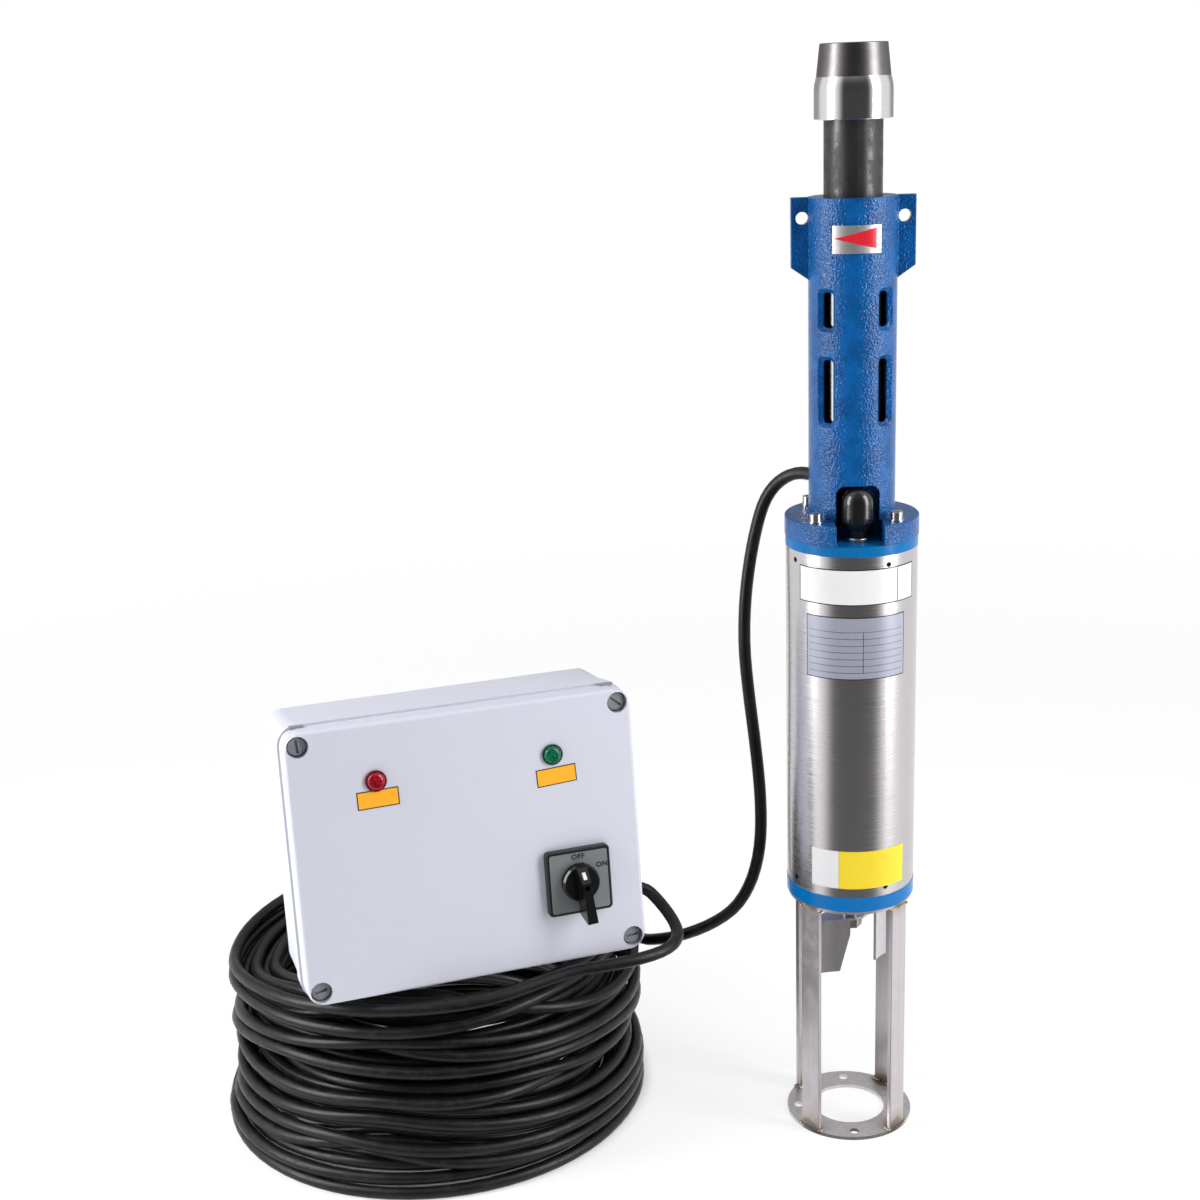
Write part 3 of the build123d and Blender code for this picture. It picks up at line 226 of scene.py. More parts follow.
class NodeDesk:
    """Adds and joins the nodes of one material or node group."""

    def __init__(self, tree: bpy.types.NodeTree) -> None:
        """Keeps the tree that nodes are added to."""
        self.tree = tree

    def node(self, kind: str, **settings: object) -> Node:
        """Returns a new node of a kind, with properties set."""
        made = self.tree.nodes.new(kind)
        for key, value in settings.items():
            setattr(made, key, value)
        return made

    def put(self, socket: Socket, value: object) -> None:
        """Links or sets one input.

        Args:
            socket: the input.
            value: a socket to link, a number, or three numbers for a vector or a colour.
        """
        if isinstance(value, Socket):
            self.tree.links.new(value, socket)
        elif socket.type == "RGBA":
            socket.default_value = (*value, 1.0)
        else:
            socket.default_value = value

    def feed(self, node: Node, **values: object) -> Node:
        """Links or sets a node's inputs by name, with _ for a space.

        Args:
            node: the node whose inputs are set.
            **values: what each input gets.

        Returns:
            The same node.
        """
        for key, value in values.items():
            self.put(node.inputs[key.replace("_", " ")], value)
        return node

    def maths(self, operation: str, first: object, second: object = 0.0) -> Socket:
        """Returns the result of a maths operation on sockets or numbers."""
        made = self.node("ShaderNodeMath", operation=operation)
        for socket, value in zip(made.inputs, (first, second)):
            self.put(socket, value)
        return made.outputs[0]

    def times(self, first: object, second: object) -> Socket:
        """Returns the product of two values."""
        return self.maths("MULTIPLY", first, second)

    def measure(self, operation: str, *vectors: object) -> Socket:
        """Returns a number from one or two vectors, such as their distance."""
        made = self.node("ShaderNodeVectorMath", operation=operation)
        for socket, value in zip(made.inputs, vectors):
            self.put(socket, value)
        return made.outputs["Value"]

    def remap(self, value: Socket, low: object, high: object, to_low: float = 0.0,
              to_high: float = 1.0) -> Socket:
        """Maps a value's range onto another with a soft step.

        Args:
            value: the socket to map.
            low: the start of its range.
            high: the end of its range.
            to_low: what the start becomes.
            to_high: what the end becomes.

        Returns:
            The mapped socket.
        """
        made = self.node("ShaderNodeMapRange", interpolation_type="SMOOTHSTEP")
        self.feed(made, Value=value, From_Min=low, From_Max=high, To_Min=to_low, To_Max=to_high)
        return made.outputs["Result"]

    def blend(self, factor: Socket, first: object, second: object) -> Socket:
        """Mixes two colours.

        Args:
            factor: a socket.
            first: the colour at 0.
            second: the colour at 1.

        Returns:
            The mixed colour's socket.
        """
        made = self.node("ShaderNodeMix", data_type="RGBA")
        for place, value in ((0, factor), (6, first), (7, second)):
            self.put(made.inputs[place], value)
        return made.outputs[2]

    def wash(self, mask: Socket, share: float, first: object, second: object) -> Socket:
        """Lays a share of a second colour over the first where a mask shows."""
        return self.blend(self.times(mask, share), first, second)

    def place(self) -> Socket:
        """Returns the piece's own Object coordinates."""
        return self.node("ShaderNodeTexCoord").outputs["Object"]

    def parts(self, where: Socket) -> bpy.types.bpy_prop_collection:
        """Returns the X, Y and Z outputs of a vector."""
        return self.feed(self.node("ShaderNodeSeparateXYZ"), Vector=where).outputs

    def vector(self, x: Socket, y: Socket, z: Socket) -> Socket:
        """Returns a vector made of three sockets."""
        return self.feed(self.node("ShaderNodeCombineXYZ"), X=x, Y=y, Z=z).outputs[0]

    def noise(self, where: Socket, scale: object, detail: float, rough: float = 0.5) -> Socket:
        """Adds a noise texture.

        Args:
            where: the coordinates.
            scale: waves per metre.
            detail: how many finer layers.
            rough: how strong the finer layers are.

        Returns:
            The noise value's socket.
        """
        made = self.node("ShaderNodeTexNoise")
        return self.feed(made, Vector=where, Scale=scale, Detail=detail, Roughness=rough).outputs[0]

    def streaks(self, scale: Point, detail: float, rough: float) -> Socket:
        """Returns noise that is stretched along the axes by its waves per metre on each."""
        stretched = self.feed(self.node("ShaderNodeMapping"), Vector=self.place(), Scale=scale)
        return self.noise(stretched.outputs[0], 1.0, detail, rough)

    def rounding(self, radius: object) -> Socket:
        """Returns the normal rounded over the edges."""
        return self.feed(self.node("ShaderNodeBevel", samples=4), Radius=radius).outputs[0]

    def group(self, tree: bpy.types.NodeTree, output: str, **values: object) -> Socket:
        """Places a shared effect with its own values and returns one of its outputs."""
        made = self.node("ShaderNodeGroup")
        made.node_tree = tree
        return self.feed(made, **values).outputs[output]

    def stains(self, scale: float, low: float, high: float) -> Socket:
        """Returns the mask of soft uneven patches."""
        return self.group(stain_cloud(), "Mask", Scale=scale, Low=low, High=high)

    def rub(self, width: float) -> Socket:
        """Returns the mask of rubbed edges."""
        return self.group(edge_rub(), "Mask", Width=width)

    def grain(self, scale: float, cells: float) -> Socket:
        """Returns the height of a fine grain."""
        return self.group(fine_grain(), "Height", Scale=scale, Cells=cells)

    def bump(self, height: Socket, strength: float, distance: float, normal: Socket | None = None) -> Socket:
        """Adds a bump.

        Args:
            height: the height's socket.
            strength: the bump's strength.
            distance: the height in metres.
            normal: a normal that it adds to.

        Returns:
            The bumped normal's socket.
        """
        made = self.node("ShaderNodeBump")
        self.feed(made, Height=height, Strength=strength, Distance=distance)
        if normal is not None:
            self.feed(made, Normal=normal)
        return made.outputs[0]


def effect(name: str, inputs: dict[str, float], *outputs: str) -> Callable:
    """Turns a function that fills a shader node group into one that returns the group.

    Args:
        name: the group's name.
        inputs: each input with its default.
        *outputs: the outputs' names.

    Returns:
        The decorator. The group is built once, and returned again after that.
    """
    def decorate(fill: Callable[[NodeDesk, Node, Node], None]) -> Callable[[], bpy.types.NodeTree]:
        """Keeps the function that fills the group."""
        def tree() -> bpy.types.NodeTree:
            """Returns the group, built at its first use."""
            made = bpy.data.node_groups.get(name)
            if made is None:
                made = bpy.data.node_groups.new(name, "ShaderNodeTree")
                add = made.interface.new_socket
                for key, value in inputs.items():
                    add(name=key, in_out="INPUT", socket_type="NodeSocketFloat").default_value = value
                for key in outputs:
                    add(name=key, in_out="OUTPUT", socket_type="NodeSocketFloat")
                desk = NodeDesk(made)
                fill(desk, desk.node("NodeGroupInput"), desk.node("NodeGroupOutput"))
            return made

        return tree

    return decorate


@effect("stain cloud", {"Scale": 20.0, "Low": 0.42, "High": 0.62}, "Mask")
def stain_cloud(desk: NodeDesk, given: Node, out: Node) -> None:
    """Soft uneven patches: two noises, one large and one fine, for handling marks and mill stains."""
    where, scale = desk.place(), given.outputs["Scale"]
    large = desk.noise(where, scale, 4.0, 0.6)
    fine = desk.noise(where, desk.times(scale, 6.5), 3.0)
    both = desk.maths("ADD", desk.times(large, 0.75), desk.times(fine, 0.25))
    desk.feed(out, Mask=desk.remap(both, given.outputs["Low"], given.outputs["High"]))


@effect("edge rub", {"Width": 0.001}, "Mask")
def edge_rub(desk: NodeDesk, given: Node, out: Node) -> None:
    """Rubbed edges, found where the true normal and one rounded over the edges part."""
    true = desk.node("ShaderNodeNewGeometry").outputs["Normal"]
    flatness = desk.measure("DOT_PRODUCT", desk.rounding(given.outputs["Width"]), true)
    patchy = desk.noise(desk.place(), 160.0, 4.0, 0.65)
    edge = desk.remap(flatness, 0.995, 0.86)
    desk.feed(out, Mask=desk.times(edge, desk.remap(patchy, 0.35, 0.65)))


@effect("turned lines", {"Lines": 1400.0}, "Height", "Tone")
def turned_lines(desk: NodeDesk, given: Node, out: Node) -> None:
    """Fine lathe rings: noise that changes quickly up the axis and slowly round it."""
    axis = desk.parts(desk.place())
    heights = []
    for share, drift in ((1.0, 4.0), (0.43, 2.5)):
        rings = desk.times(axis["Z"], desk.times(given.outputs["Lines"], share))
        line = desk.vector(desk.times(axis["X"], drift), desk.times(axis["Y"], drift), rings)
        heights.append(desk.noise(line, 1.0, 2.0, 0.6))
    both = desk.maths("ADD", desk.times(heights[0], 0.7), desk.times(heights[1], 0.3))
    desk.feed(out, Height=both, Tone=desk.remap(both, 0.38, 0.62))


@effect("fine grain", {"Scale": 900.0, "Cells": 0.6}, "Height")
def fine_grain(desk: NodeDesk, given: Node, out: Node) -> None:
    """Fine pebbled grain of rounded cells and noise, for moulded plastic, rubber and cast paint."""
    where, scale = desk.place(), given.outputs["Scale"]
    cells = desk.node("ShaderNodeTexVoronoi", feature="SMOOTH_F1")
    desk.feed(cells, Vector=where, Scale=scale, Smoothness=0.6)
    rough = desk.noise(where, desk.times(scale, 0.7), 2.0)
    lumps = desk.times(cells.outputs["Distance"], given.outputs["Cells"])
    desk.feed(out, Height=desk.maths("ADD", lumps, rough))


# Finishes


@dataclass(frozen=True)
class Finish:
    """A named surface: its colour, gloss and the detail that shows on it."""

    name: str
    colour: Colour
    roughness: float = 0.5
    metallic: float = 0.0
    coat: float = 0.0
    coat_roughness: float = 0.1
    specular: float = 0.5

    def material(self) -> bpy.types.Material:
        """Builds the material once, and returns it again after that.

        Returns:
            The finish's material.
        """
        found = bpy.data.materials.get(self.name)
        if found:
            return found
        made = bpy.data.materials.new(self.name)
        made.use_nodes = True
        desk = NodeDesk(made.node_tree)
        shader = made.node_tree.nodes["Principled BSDF"]
        desk.feed(shader, Base_Color=self.colour, Roughness=self.roughness, Metallic=self.metallic,
                  Coat_Weight=self.coat, Coat_Roughness=self.coat_roughness,
                  Specular_IOR_Level=self.specular)
        self.detail(desk, shader)
        made.diffuse_color = (*self.colour, 1.0)
        return made

    def dimmed(self, share: float) -> Colour:
        """Returns the finish's colour at a share of its brightness."""
        return tuple(channel * share for channel in self.colour)

    def gloss(self, desk: NodeDesk, mask: Socket, least: float, most: float, start: float = 0.0) -> Socket:
        """Returns the roughness, from the least to the most share of it as a mask rises to 1."""
        return desk.remap(mask, start, 1.0, self.roughness * least, self.roughness * most)

    def detail(self, desk: NodeDesk, shader: Node) -> None:
        """Adds faint patches of gloss, which every real surface has."""
        desk.feed(shader, Roughness=self.gloss(desk, desk.stains(30.0, 0.35, 0.7), 0.88, 1.12))


@dataclass(frozen=True)
class CastEnamel(Finish):
    """Enamel over a sand casting: rounded lumps under a glossy coat, rubbed along the edges, where a paler
    blue is a painted edge highlight.
    """

    lump: float = 520.0
    lump_height: float = 0.0010
    # The paler blue laid on the rubbed edges: a painted edge highlight, placed where the edges are rubbed
    worn: Colour = (0.06, 0.25, 0.52)

    def detail(self, desk: NodeDesk, shader: Node) -> None:
        """Adds lumps, long waves of colour, and a painted edge highlight: a paler blue on the rubbed edges.
        """
        lumps = desk.grain(self.lump, 0.5)
        waves = desk.noise(desk.place(), 45.0, 3.0, 0.55)
        waved = desk.bump(waves, 0.5, 0.0008, desk.rounding(0.0016))
        tone = desk.blend(desk.remap(waves, 0.35, 0.65), self.dimmed(0.82), self.dimmed(1.15))
        # The rubbed edges take the paler blue, which is a painted edge highlight
        desk.feed(shader, Base_Color=desk.wash(desk.rub(0.0012), 0.35, tone, self.worn),
                  Normal=desk.bump(lumps, 1.0, self.lump_height, waved),
                  Roughness=self.gloss(desk, lumps, 0.8, 1.25, 0.3))


@dataclass(frozen=True)
class MachinedEnamel(Finish):
    """Enamel over a turned ring: smooth, with a little orange peel and bright rubbed rims."""

    worn: Colour = (0.10, 0.30, 0.55)

    def detail(self, desk: NodeDesk, shader: Node) -> None:
        """Adds orange peel and rubbed rims."""
        peel = desk.noise(desk.place(), 260.0, 2.0)
        patches = desk.stains(26.0, 0.4, 0.66)
        tone = desk.wash(patches, 0.5, self.colour, self.dimmed(0.8))
        desk.feed(shader, Base_Color=desk.wash(desk.rub(0.0009), 0.5, tone, self.worn),
                  Normal=desk.bump(peel, 0.35, 0.00016, desk.rounding(0.0012)),
                  Roughness=self.gloss(desk, patches, 0.85, 1.3))


@dataclass(frozen=True)
class TurnedSteel(Finish):
    """Bare steel with fine rings round the pump's axis."""

    lines: float = 2300.0
    line_height: float = 0.000009
    dark: Colour = (0.34, 0.33, 0.34)
    scratch_colour: Colour = (0.85, 0.85, 0.85)

    def rings(self, desk: NodeDesk, output: str) -> Socket:
        """Returns the rings' height or tone."""
        return desk.group(turned_lines(), output, Lines=self.lines)

    def detail(self, desk: NodeDesk, shader: Node) -> None:
        """Adds rings, faint stains and short scratches."""
        ring_tone = self.rings(desk, "Tone")
        tone = desk.wash(ring_tone, 0.16, self.colour, self.dark)
        tone = desk.wash(desk.stains(16.0, 0.45, 0.7), 0.10, tone, self.dark)
        scratches = desk.remap(desk.streaks((60.0, 60.0, 420.0), 6.0, 0.8), 0.66, 0.74)
        round_axis = desk.node("ShaderNodeTangent", direction_type="RADIAL", axis="Z")
        desk.feed(shader, Base_Color=desk.wash(scratches, 0.12, tone, self.scratch_colour),
                  Roughness=self.gloss(desk, ring_tone, 0.85, 1.2),
                  Normal=desk.bump(self.rings(desk, "Height"), 0.5, self.line_height),
                  Tangent=round_axis.outputs[0], Anisotropic=0.6, Anisotropic_Rotation=0.25)


@dataclass(frozen=True)
class SocketSteel(TurnedSteel):
    """The discharge socket: polished below, and darker and duller where the taper was turned."""

    taper_z: float = 1.1715
    taper_step: float = 0.0004
    taper_colour: Colour = (0.150, 0.142, 0.146)
    taper_stain: Colour = (0.090, 0.0852, 0.0876)
    taper_roughness: float = 0.35

    def detail(self, desk: NodeDesk, shader: Node) -> None:
        """Adds rings and stains, split at the taper's foot."""
        height = desk.parts(desk.place())["Z"]
        above = desk.remap(height, self.taper_z - self.taper_step, self.taper_z + self.taper_step)
        bright = desk.wash(self.rings(desk, "Tone"), 0.08, self.colour, self.dark)
        dull = desk.wash(desk.stains(55.0, 0.45, 0.68), 0.4, self.taper_colour, self.taper_stain)
        desk.feed(shader, Base_Color=desk.blend(above, bright, dull),
                  Roughness=desk.remap(above, 0.0, 1.0, self.roughness, self.taper_roughness),
                  Normal=desk.bump(self.rings(desk, "Height"), 0.5, self.line_height))


@dataclass(frozen=True)
class WeldedBar(Finish):
    """Rolled stainless bar: drawn streaks, dull stains, and heat colours next to the welds."""

    hot_levels: tuple[float, ...] = (0.2815, 0.004)
    hot_corner: float = 0.0479
    streak: float = 1100.0
    straw: Colour = (0.42, 0.33, 0.24)
    soot: Colour = (0.11, 0.095, 0.095)

    def heat(self, desk: NodeDesk, tone: Socket) -> Socket:
        """Tints a colour round each leg's welds, straw further out and soot close by.

        Args:
            desk: the material.
            tone: the cold colour.

        Returns:
            The tinted colour.
        """
        where = desk.place()
        axis = desk.parts(where)
        wander = desk.times(desk.noise(where, 70.0, 3.0, 0.6), 0.016)
        aside = [desk.maths("SUBTRACT", desk.maths("ABSOLUTE", axis[key]), self.hot_corner) for key in "XY"]
        for level in self.hot_levels:
            spot = desk.vector(*aside, desk.maths("SUBTRACT", axis["Z"], level))
            away = desk.maths("ADD", desk.measure("LENGTH", spot), wander)
            tone = desk.blend(desk.remap(away, 0.034, 0.019, 0.0, 0.55), tone, self.straw)
            tone = desk.blend(desk.remap(away, 0.0225, 0.016, 0.0, 0.65), tone, self.soot)
        return tone

    def detail(self, desk: NodeDesk, shader: Node) -> None:
        """Adds streaks along the bar, stains, and the tint of the welds."""
        streaks = desk.streaks((self.streak, self.streak, 9.0), 3.0, 0.6)
        stains = desk.stains(34.0, 0.45, 0.70)
        tone = desk.wash(desk.remap(streaks, 0.35, 0.65), 0.30, self.colour, self.dimmed(0.6))
        tone = desk.wash(stains, 0.16, tone, self.dimmed(0.62))
        desk.feed(shader, Base_Color=self.heat(desk, tone), Normal=desk.bump(streaks, 0.4, 0.00005),
                  Roughness=self.gloss(desk, stains, 0.85, 1.25))


@dataclass(frozen=True)
class BlackPipe(Finish):
    """Dark steel pipe with mill scale, drawn marks and a little rust."""

    drawn: Colour = (0.075, 0.070, 0.068)
    rust: Colour = (0.10, 0.045, 0.022)

    def detail(self, desk: NodeDesk, shader: Node) -> None:
        """Adds scale patches, upright draw marks and rust specks."""
        scale = desk.stains(70.0, 0.40, 0.62)
        draws = desk.streaks((380.0, 380.0, 6.0), 3.0, 0.6)
        specks = desk.remap(desk.noise(desk.place(), 620.0, 4.0, 0.7), 0.64, 0.70)
        tone = desk.blend(scale, self.colour, self.dimmed(0.55))
        tone = desk.wash(desk.remap(draws, 0.4, 0.7), 0.4, tone, self.drawn)
        desk.feed(shader, Base_Color=desk.wash(specks, 0.5, tone, self.rust),
                  Roughness=self.gloss(desk, scale, 0.8, 1.25),
                  Normal=desk.bump(draws, 0.3, 0.00008, desk.bump(specks, 0.2, 0.00005)))


@dataclass(frozen=True)
class CableSheath(Finish):
    """The cable's rubber sheath: soft sheen, scuffs and dust."""

    dust: Colour = (0.040, 0.039, 0.040)
    scuffed: Colour = (0.034, 0.034, 0.037)

    def detail(self, desk: NodeDesk, shader: Node) -> None:
        """Adds scuffs, dust that gathers in patches, and a fine rubber grain."""
        scuffs = desk.stains(60.0, 0.46, 0.66)
        tone = desk.wash(desk.stains(9.0, 0.42, 0.66), 0.16, self.colour, self.dust)
        desk.feed(shader, Base_Color=desk.wash(scuffs, 0.16, tone, self.scuffed),
                  Normal=desk.bump(desk.grain(1500.0, 0.3), 0.2, 0.00006),
                  Roughness=self.gloss(desk, scuffs, 0.88, 1.25))


@dataclass(frozen=True)
class Moulding(Finish):
    """Moulded plastic or rubber with a fine grain and rubbed edges."""

    grain: float = 1500.0
    grain_height: float = 0.00003
    rubbed: Colour = (0.9, 0.9, 0.9)
    rub_share: float = 0.1

    def detail(self, desk: NodeDesk, shader: Node) -> None:
        """Adds grain, faint smudges and a slight rub along the edges."""
        smudge = desk.stains(14.0, 0.40, 0.70)
        tone = desk.wash(smudge, 0.25, self.colour, self.dimmed(0.93))
        desk.feed(shader, Base_Color=desk.wash(desk.rub(0.0007), self.rub_share, tone, self.rubbed),
                  Normal=desk.bump(desk.grain(self.grain, 0.4), 0.35, self.grain_height),
                  Roughness=self.gloss(desk, smudge, 0.92, 1.15))


@dataclass(frozen=True)
class LampLens(Finish):
    """A moulded lamp lens, with facets that show through its smooth skin."""

    deep: Colour = (0.1, 0.0, 0.0)
    facet: float = 420.0

    def detail(self, desk: NodeDesk, shader: Node) -> None:
        """Adds lighter and darker facets under the clear coat."""
        cells = desk.node("ShaderNodeTexVoronoi", feature="F1")
        desk.feed(cells, Vector=desk.place(), Scale=self.facet)
        depth = cells.outputs["Distance"]
        desk.feed(shader, Base_Color=desk.blend(desk.remap(depth, 0.15, 0.75), self.colour, self.deep),
                  Normal=desk.bump(depth, 0.25, 0.0004))


@dataclass(frozen=True)
class PrintedFoil(Finish):
    """A bare foil or film plate: slight waves and rubbed patches."""

    def detail(self, desk: NodeDesk, shader: Node) -> None:
        """Adds waves in the film and worn patches."""
        worn = desk.stains(50.0, 0.5, 0.72)
        desk.feed(shader, Base_Color=desk.wash(worn, 0.3, self.colour, self.dimmed(0.82)),
                  Roughness=self.gloss(desk, worn, 0.85, 1.3),
                  Normal=desk.bump(desk.noise(desk.place(), 90.0, 2.0), 0.2, 0.0001))


CAST_BLUE = CastEnamel("blue cast enamel", (0.0, 0.070, 0.245), 0.17, specular=0.34)
RING_BLUE = MachinedEnamel("blue ring enamel", (0.0, 0.120, 0.340), 0.24, specular=0.20)
FOOT_BLUE = MachinedEnamel("blue foot enamel", (0.0, 0.135, 0.400), 0.24, specular=0.24)
SHELL_STEEL = TurnedSteel("turned motor shell", (0.62, 0.595, 0.61), 0.27, metallic=1.0)
SOCKET_STEEL = SocketSteel("socket steel", (0.70, 0.69, 0.70), 0.13, metallic=1.0, lines=900.0)
BAR_STEEL = WeldedBar("welded stainless bar", (0.60, 0.565, 0.585), 0.38, metallic=0.78,
                      hot_levels=(0.292, 0.004))
BASE_STEEL = WeldedBar("welded base ring", (0.66, 0.63, 0.65), 0.38, metallic=0.9, hot_levels=(0.004,),
                       streak=160.0)
PLATE_STEEL = WeldedBar("stirrer sheet", (0.62, 0.59, 0.61), 0.34, metallic=0.75, hot_levels=(), streak=40.0)
WELD_BEAD = WeldedBar("weld bead", (0.40, 0.37, 0.37), 0.32, metallic=1.0)
ZINC_STEEL = TurnedSteel("zinc plated screw", (0.60, 0.58, 0.56), 0.28, metallic=1.0, lines=2400.0)
DARK_STEEL = Finish("dark set screw", (0.03, 0.03, 0.03), 0.4, metallic=1.0)
SHAFT_STEEL = TurnedSteel("ground shaft", (0.58, 0.57, 0.56), 0.25, metallic=1.0, lines=1800.0)
IRON = TurnedSteel("laminated iron", (0.22, 0.22, 0.23), 0.4, metallic=1.0, lines=3000.0)
PIPE_STEEL = BlackPipe("dark pipe", (0.050, 0.048, 0.048), 0.40, metallic=0.7)
TUBE_BLACK = MachinedEnamel("black tube enamel", (0.005, 0.005, 0.006), 0.16, coat=0.6,
                            worn=(0.10, 0.10, 0.10))
SHEATH = CableSheath("cable sheath", (0.0038, 0.0038, 0.0046), 0.42, specular=0.28)
BOOT_RUBBER = Moulding("boot rubber", (0.006, 0.006, 0.007), 0.20, coat=0.2, coat_roughness=0.25,
                       grain=700.0, grain_height=0.00012, rubbed=(0.05, 0.05, 0.05), rub_share=0.5)
BOX_PLASTIC = Moulding("box plastic", (0.555, 0.565, 0.645), 0.40, grain=1300.0, grain_height=0.00004)
SCREW_PLASTIC = Moulding("lid screw plastic", (0.200, 0.205, 0.225), 0.36, rubbed=(0.4, 0.4, 0.42),
                         rub_share=0.3)
PLUG_PLASTIC = Moulding("hinge plug plastic", (0.24, 0.25, 0.27), 0.4, rubbed=(0.5, 0.5, 0.52), rub_share=0.3)
BLACK_PLASTIC = Moulding("black switch plastic", (0.0060, 0.0065, 0.0080), 0.32, specular=0.4,
                         rubbed=(0.05, 0.05, 0.055), rub_share=0.5)
KNOB_PLASTIC = Moulding("knob plastic", (0.0042, 0.0042, 0.0050), 0.22, specular=0.45,
                        rubbed=(0.06, 0.06, 0.065), rub_share=0.5)
CREAM_PLASTIC = Moulding("terminal plastic", (0.55, 0.52, 0.42), 0.5)
CARBON = Moulding("carbon bush", (0.02, 0.02, 0.02), 0.5)
RESIN = Moulding("winding resin", (0.30, 0.10, 0.03), 0.35, grain=500.0, grain_height=0.0003)
RED_RIM = Moulding("red lamp rim", (0.120, 0.003, 0.008), 0.3, rubbed=(0.3, 0.05, 0.05))
GREEN_RIM = Moulding("green lamp rim", (0.001, 0.060, 0.028), 0.3, rubbed=(0.05, 0.2, 0.1))
RED_LENS = LampLens("red lens", (0.46, 0.004, 0.016), 0.16, coat=0.25, coat_roughness=0.08, specular=0.35,
                    deep=(0.14, 0.0, 0.004))
GREEN_LENS = LampLens("green lens", (0.0, 0.19, 0.085), 0.16, coat=0.25, coat_roughness=0.08,
                      specular=0.35, deep=(0.0, 0.060, 0.028))
WHITE_FILM = PrintedFoil("white film", (0.66, 0.66, 0.67), 0.35)
SILVER_FILM = PrintedFoil("silver film", (0.36, 0.37, 0.45), 0.34, metallic=0.35)
YELLOW_FILM = PrintedFoil("yellow film", (0.74, 0.56, 0.012), 0.35)
ORANGE_FILM = PrintedFoil("orange film", (0.92, 0.40, 0.008), 0.45)
INK_BLACK = PrintedFoil("black ink", (0.012, 0.012, 0.014), 0.4)
INK_RED = PrintedFoil("red ink", (0.55, 0.008, 0.022), 0.32)
BARE_FOIL = PrintedFoil("bare metal foil", (0.62, 0.61, 0.60), 0.45, metallic=0.9)
FACE_GREY = PrintedFoil("switch face film", (0.165, 0.180, 0.186), 0.36)
MARK_WHITE = PrintedFoil("white mark", (0.66, 0.68, 0.68), 0.4)

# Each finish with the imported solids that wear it
WORN_BY: tuple[tuple[Finish, str], ...] = (
    (BASE_STEEL, "base_ring"),
    (BAR_STEEL, "leg_front_right leg_back_right leg_back_left leg_front_left stand_top_ring"),
    (FOOT_BLUE, "motor_foot"),
    (RING_BLUE, "motor_head"),
    (CAST_BLUE, "pump_casing"),
    (SHELL_STEEL, "motor_shell"),
    (DARK_STEEL, "shell_screws"),
    (PLATE_STEEL, "stirrer"),
    (ZINC_STEEL, "stirrer_nut flange_washers flange_screws cable_gland mounting_plate"),
    (SHAFT_STEEL, "motor_shaft thrust_runner shaft_coupling flex_shaft screw_rotor"),
    (IRON, "stator_core motor_rotor"),
    (RESIN, "end_windings"),
    (CARBON, "lower_bush upper_bush thrust_pad"),
    (BOOT_RUBBER, "shaft_seal stator_rubber cable_boot"),
    (TUBE_BLACK, "stator_tube"),
    (PIPE_STEEL, "discharge_pipe"),
    (SOCKET_STEEL, "discharge_socket"),
    (BOX_PLASTIC, "box_base box_lid"),
    (SCREW_PLASTIC, "lid_screws"),
    (PLUG_PLASTIC, "hinge_plugs box_gland"),
    (RED_RIM, "red_lamp_bezel"),
    (GREEN_RIM, "green_lamp_bezel"),
    (RED_LENS, "red_lamp_lens"),
    (GREEN_LENS, "green_lamp_lens"),
    (BLACK_PLASTIC, "switch_plate switch_body contactor"),
    (KNOB_PLASTIC, "switch_knob"),
    (CREAM_PLASTIC, "terminal_strip"),
)


def dress_solids(nodes: dict[str, Piece]) -> None:
    """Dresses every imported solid, and reports one that a laid piece shows instead.

    Args:
        nodes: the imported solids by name.
    """
    wears = {name: finish for finish, names in WORN_BY for name in names.split()}
    for name, node in nodes.items():
        if name not in wears:
            log.info("%s is shown by a laid piece", name)
        dress(node, wears.get(name, SHEATH))


# Where the control box is


@dataclass(frozen=True)
class BoxPlace:
    """The control box's own plane: X to the right, Y up the lid, Z out of it."""

    width: float = 0.380
    height: float = 0.298
    depth: float = 0.136
    draft: float = 0.001
    turn: float = 19.7
    lean: float = 6.48
    x: float = -0.4172
    y: float = -0.1053
    coil_top: float = 0.2278

    def matrix(self) -> Matrix:
        """Returns the plane as a matrix, from box coordinates to the pump's frame."""
        turn, lean = math.radians(self.turn), math.radians(self.lean)
        across = Vector((math.cos(turn), math.sin(turn), 0.0))
        out = Vector((math.sin(turn) * math.cos(lean), -math.cos(turn) * math.cos(lean), math.sin(lean)))
        z = self.coil_top + (self.height / 2 - self.draft) * math.cos(lean) + self.depth * math.sin(lean)
        turned = Matrix((across, out.cross(across), out)).transposed().to_4x4()
        return Matrix.Translation((self.x, self.y, z)) @ turned


# Cable


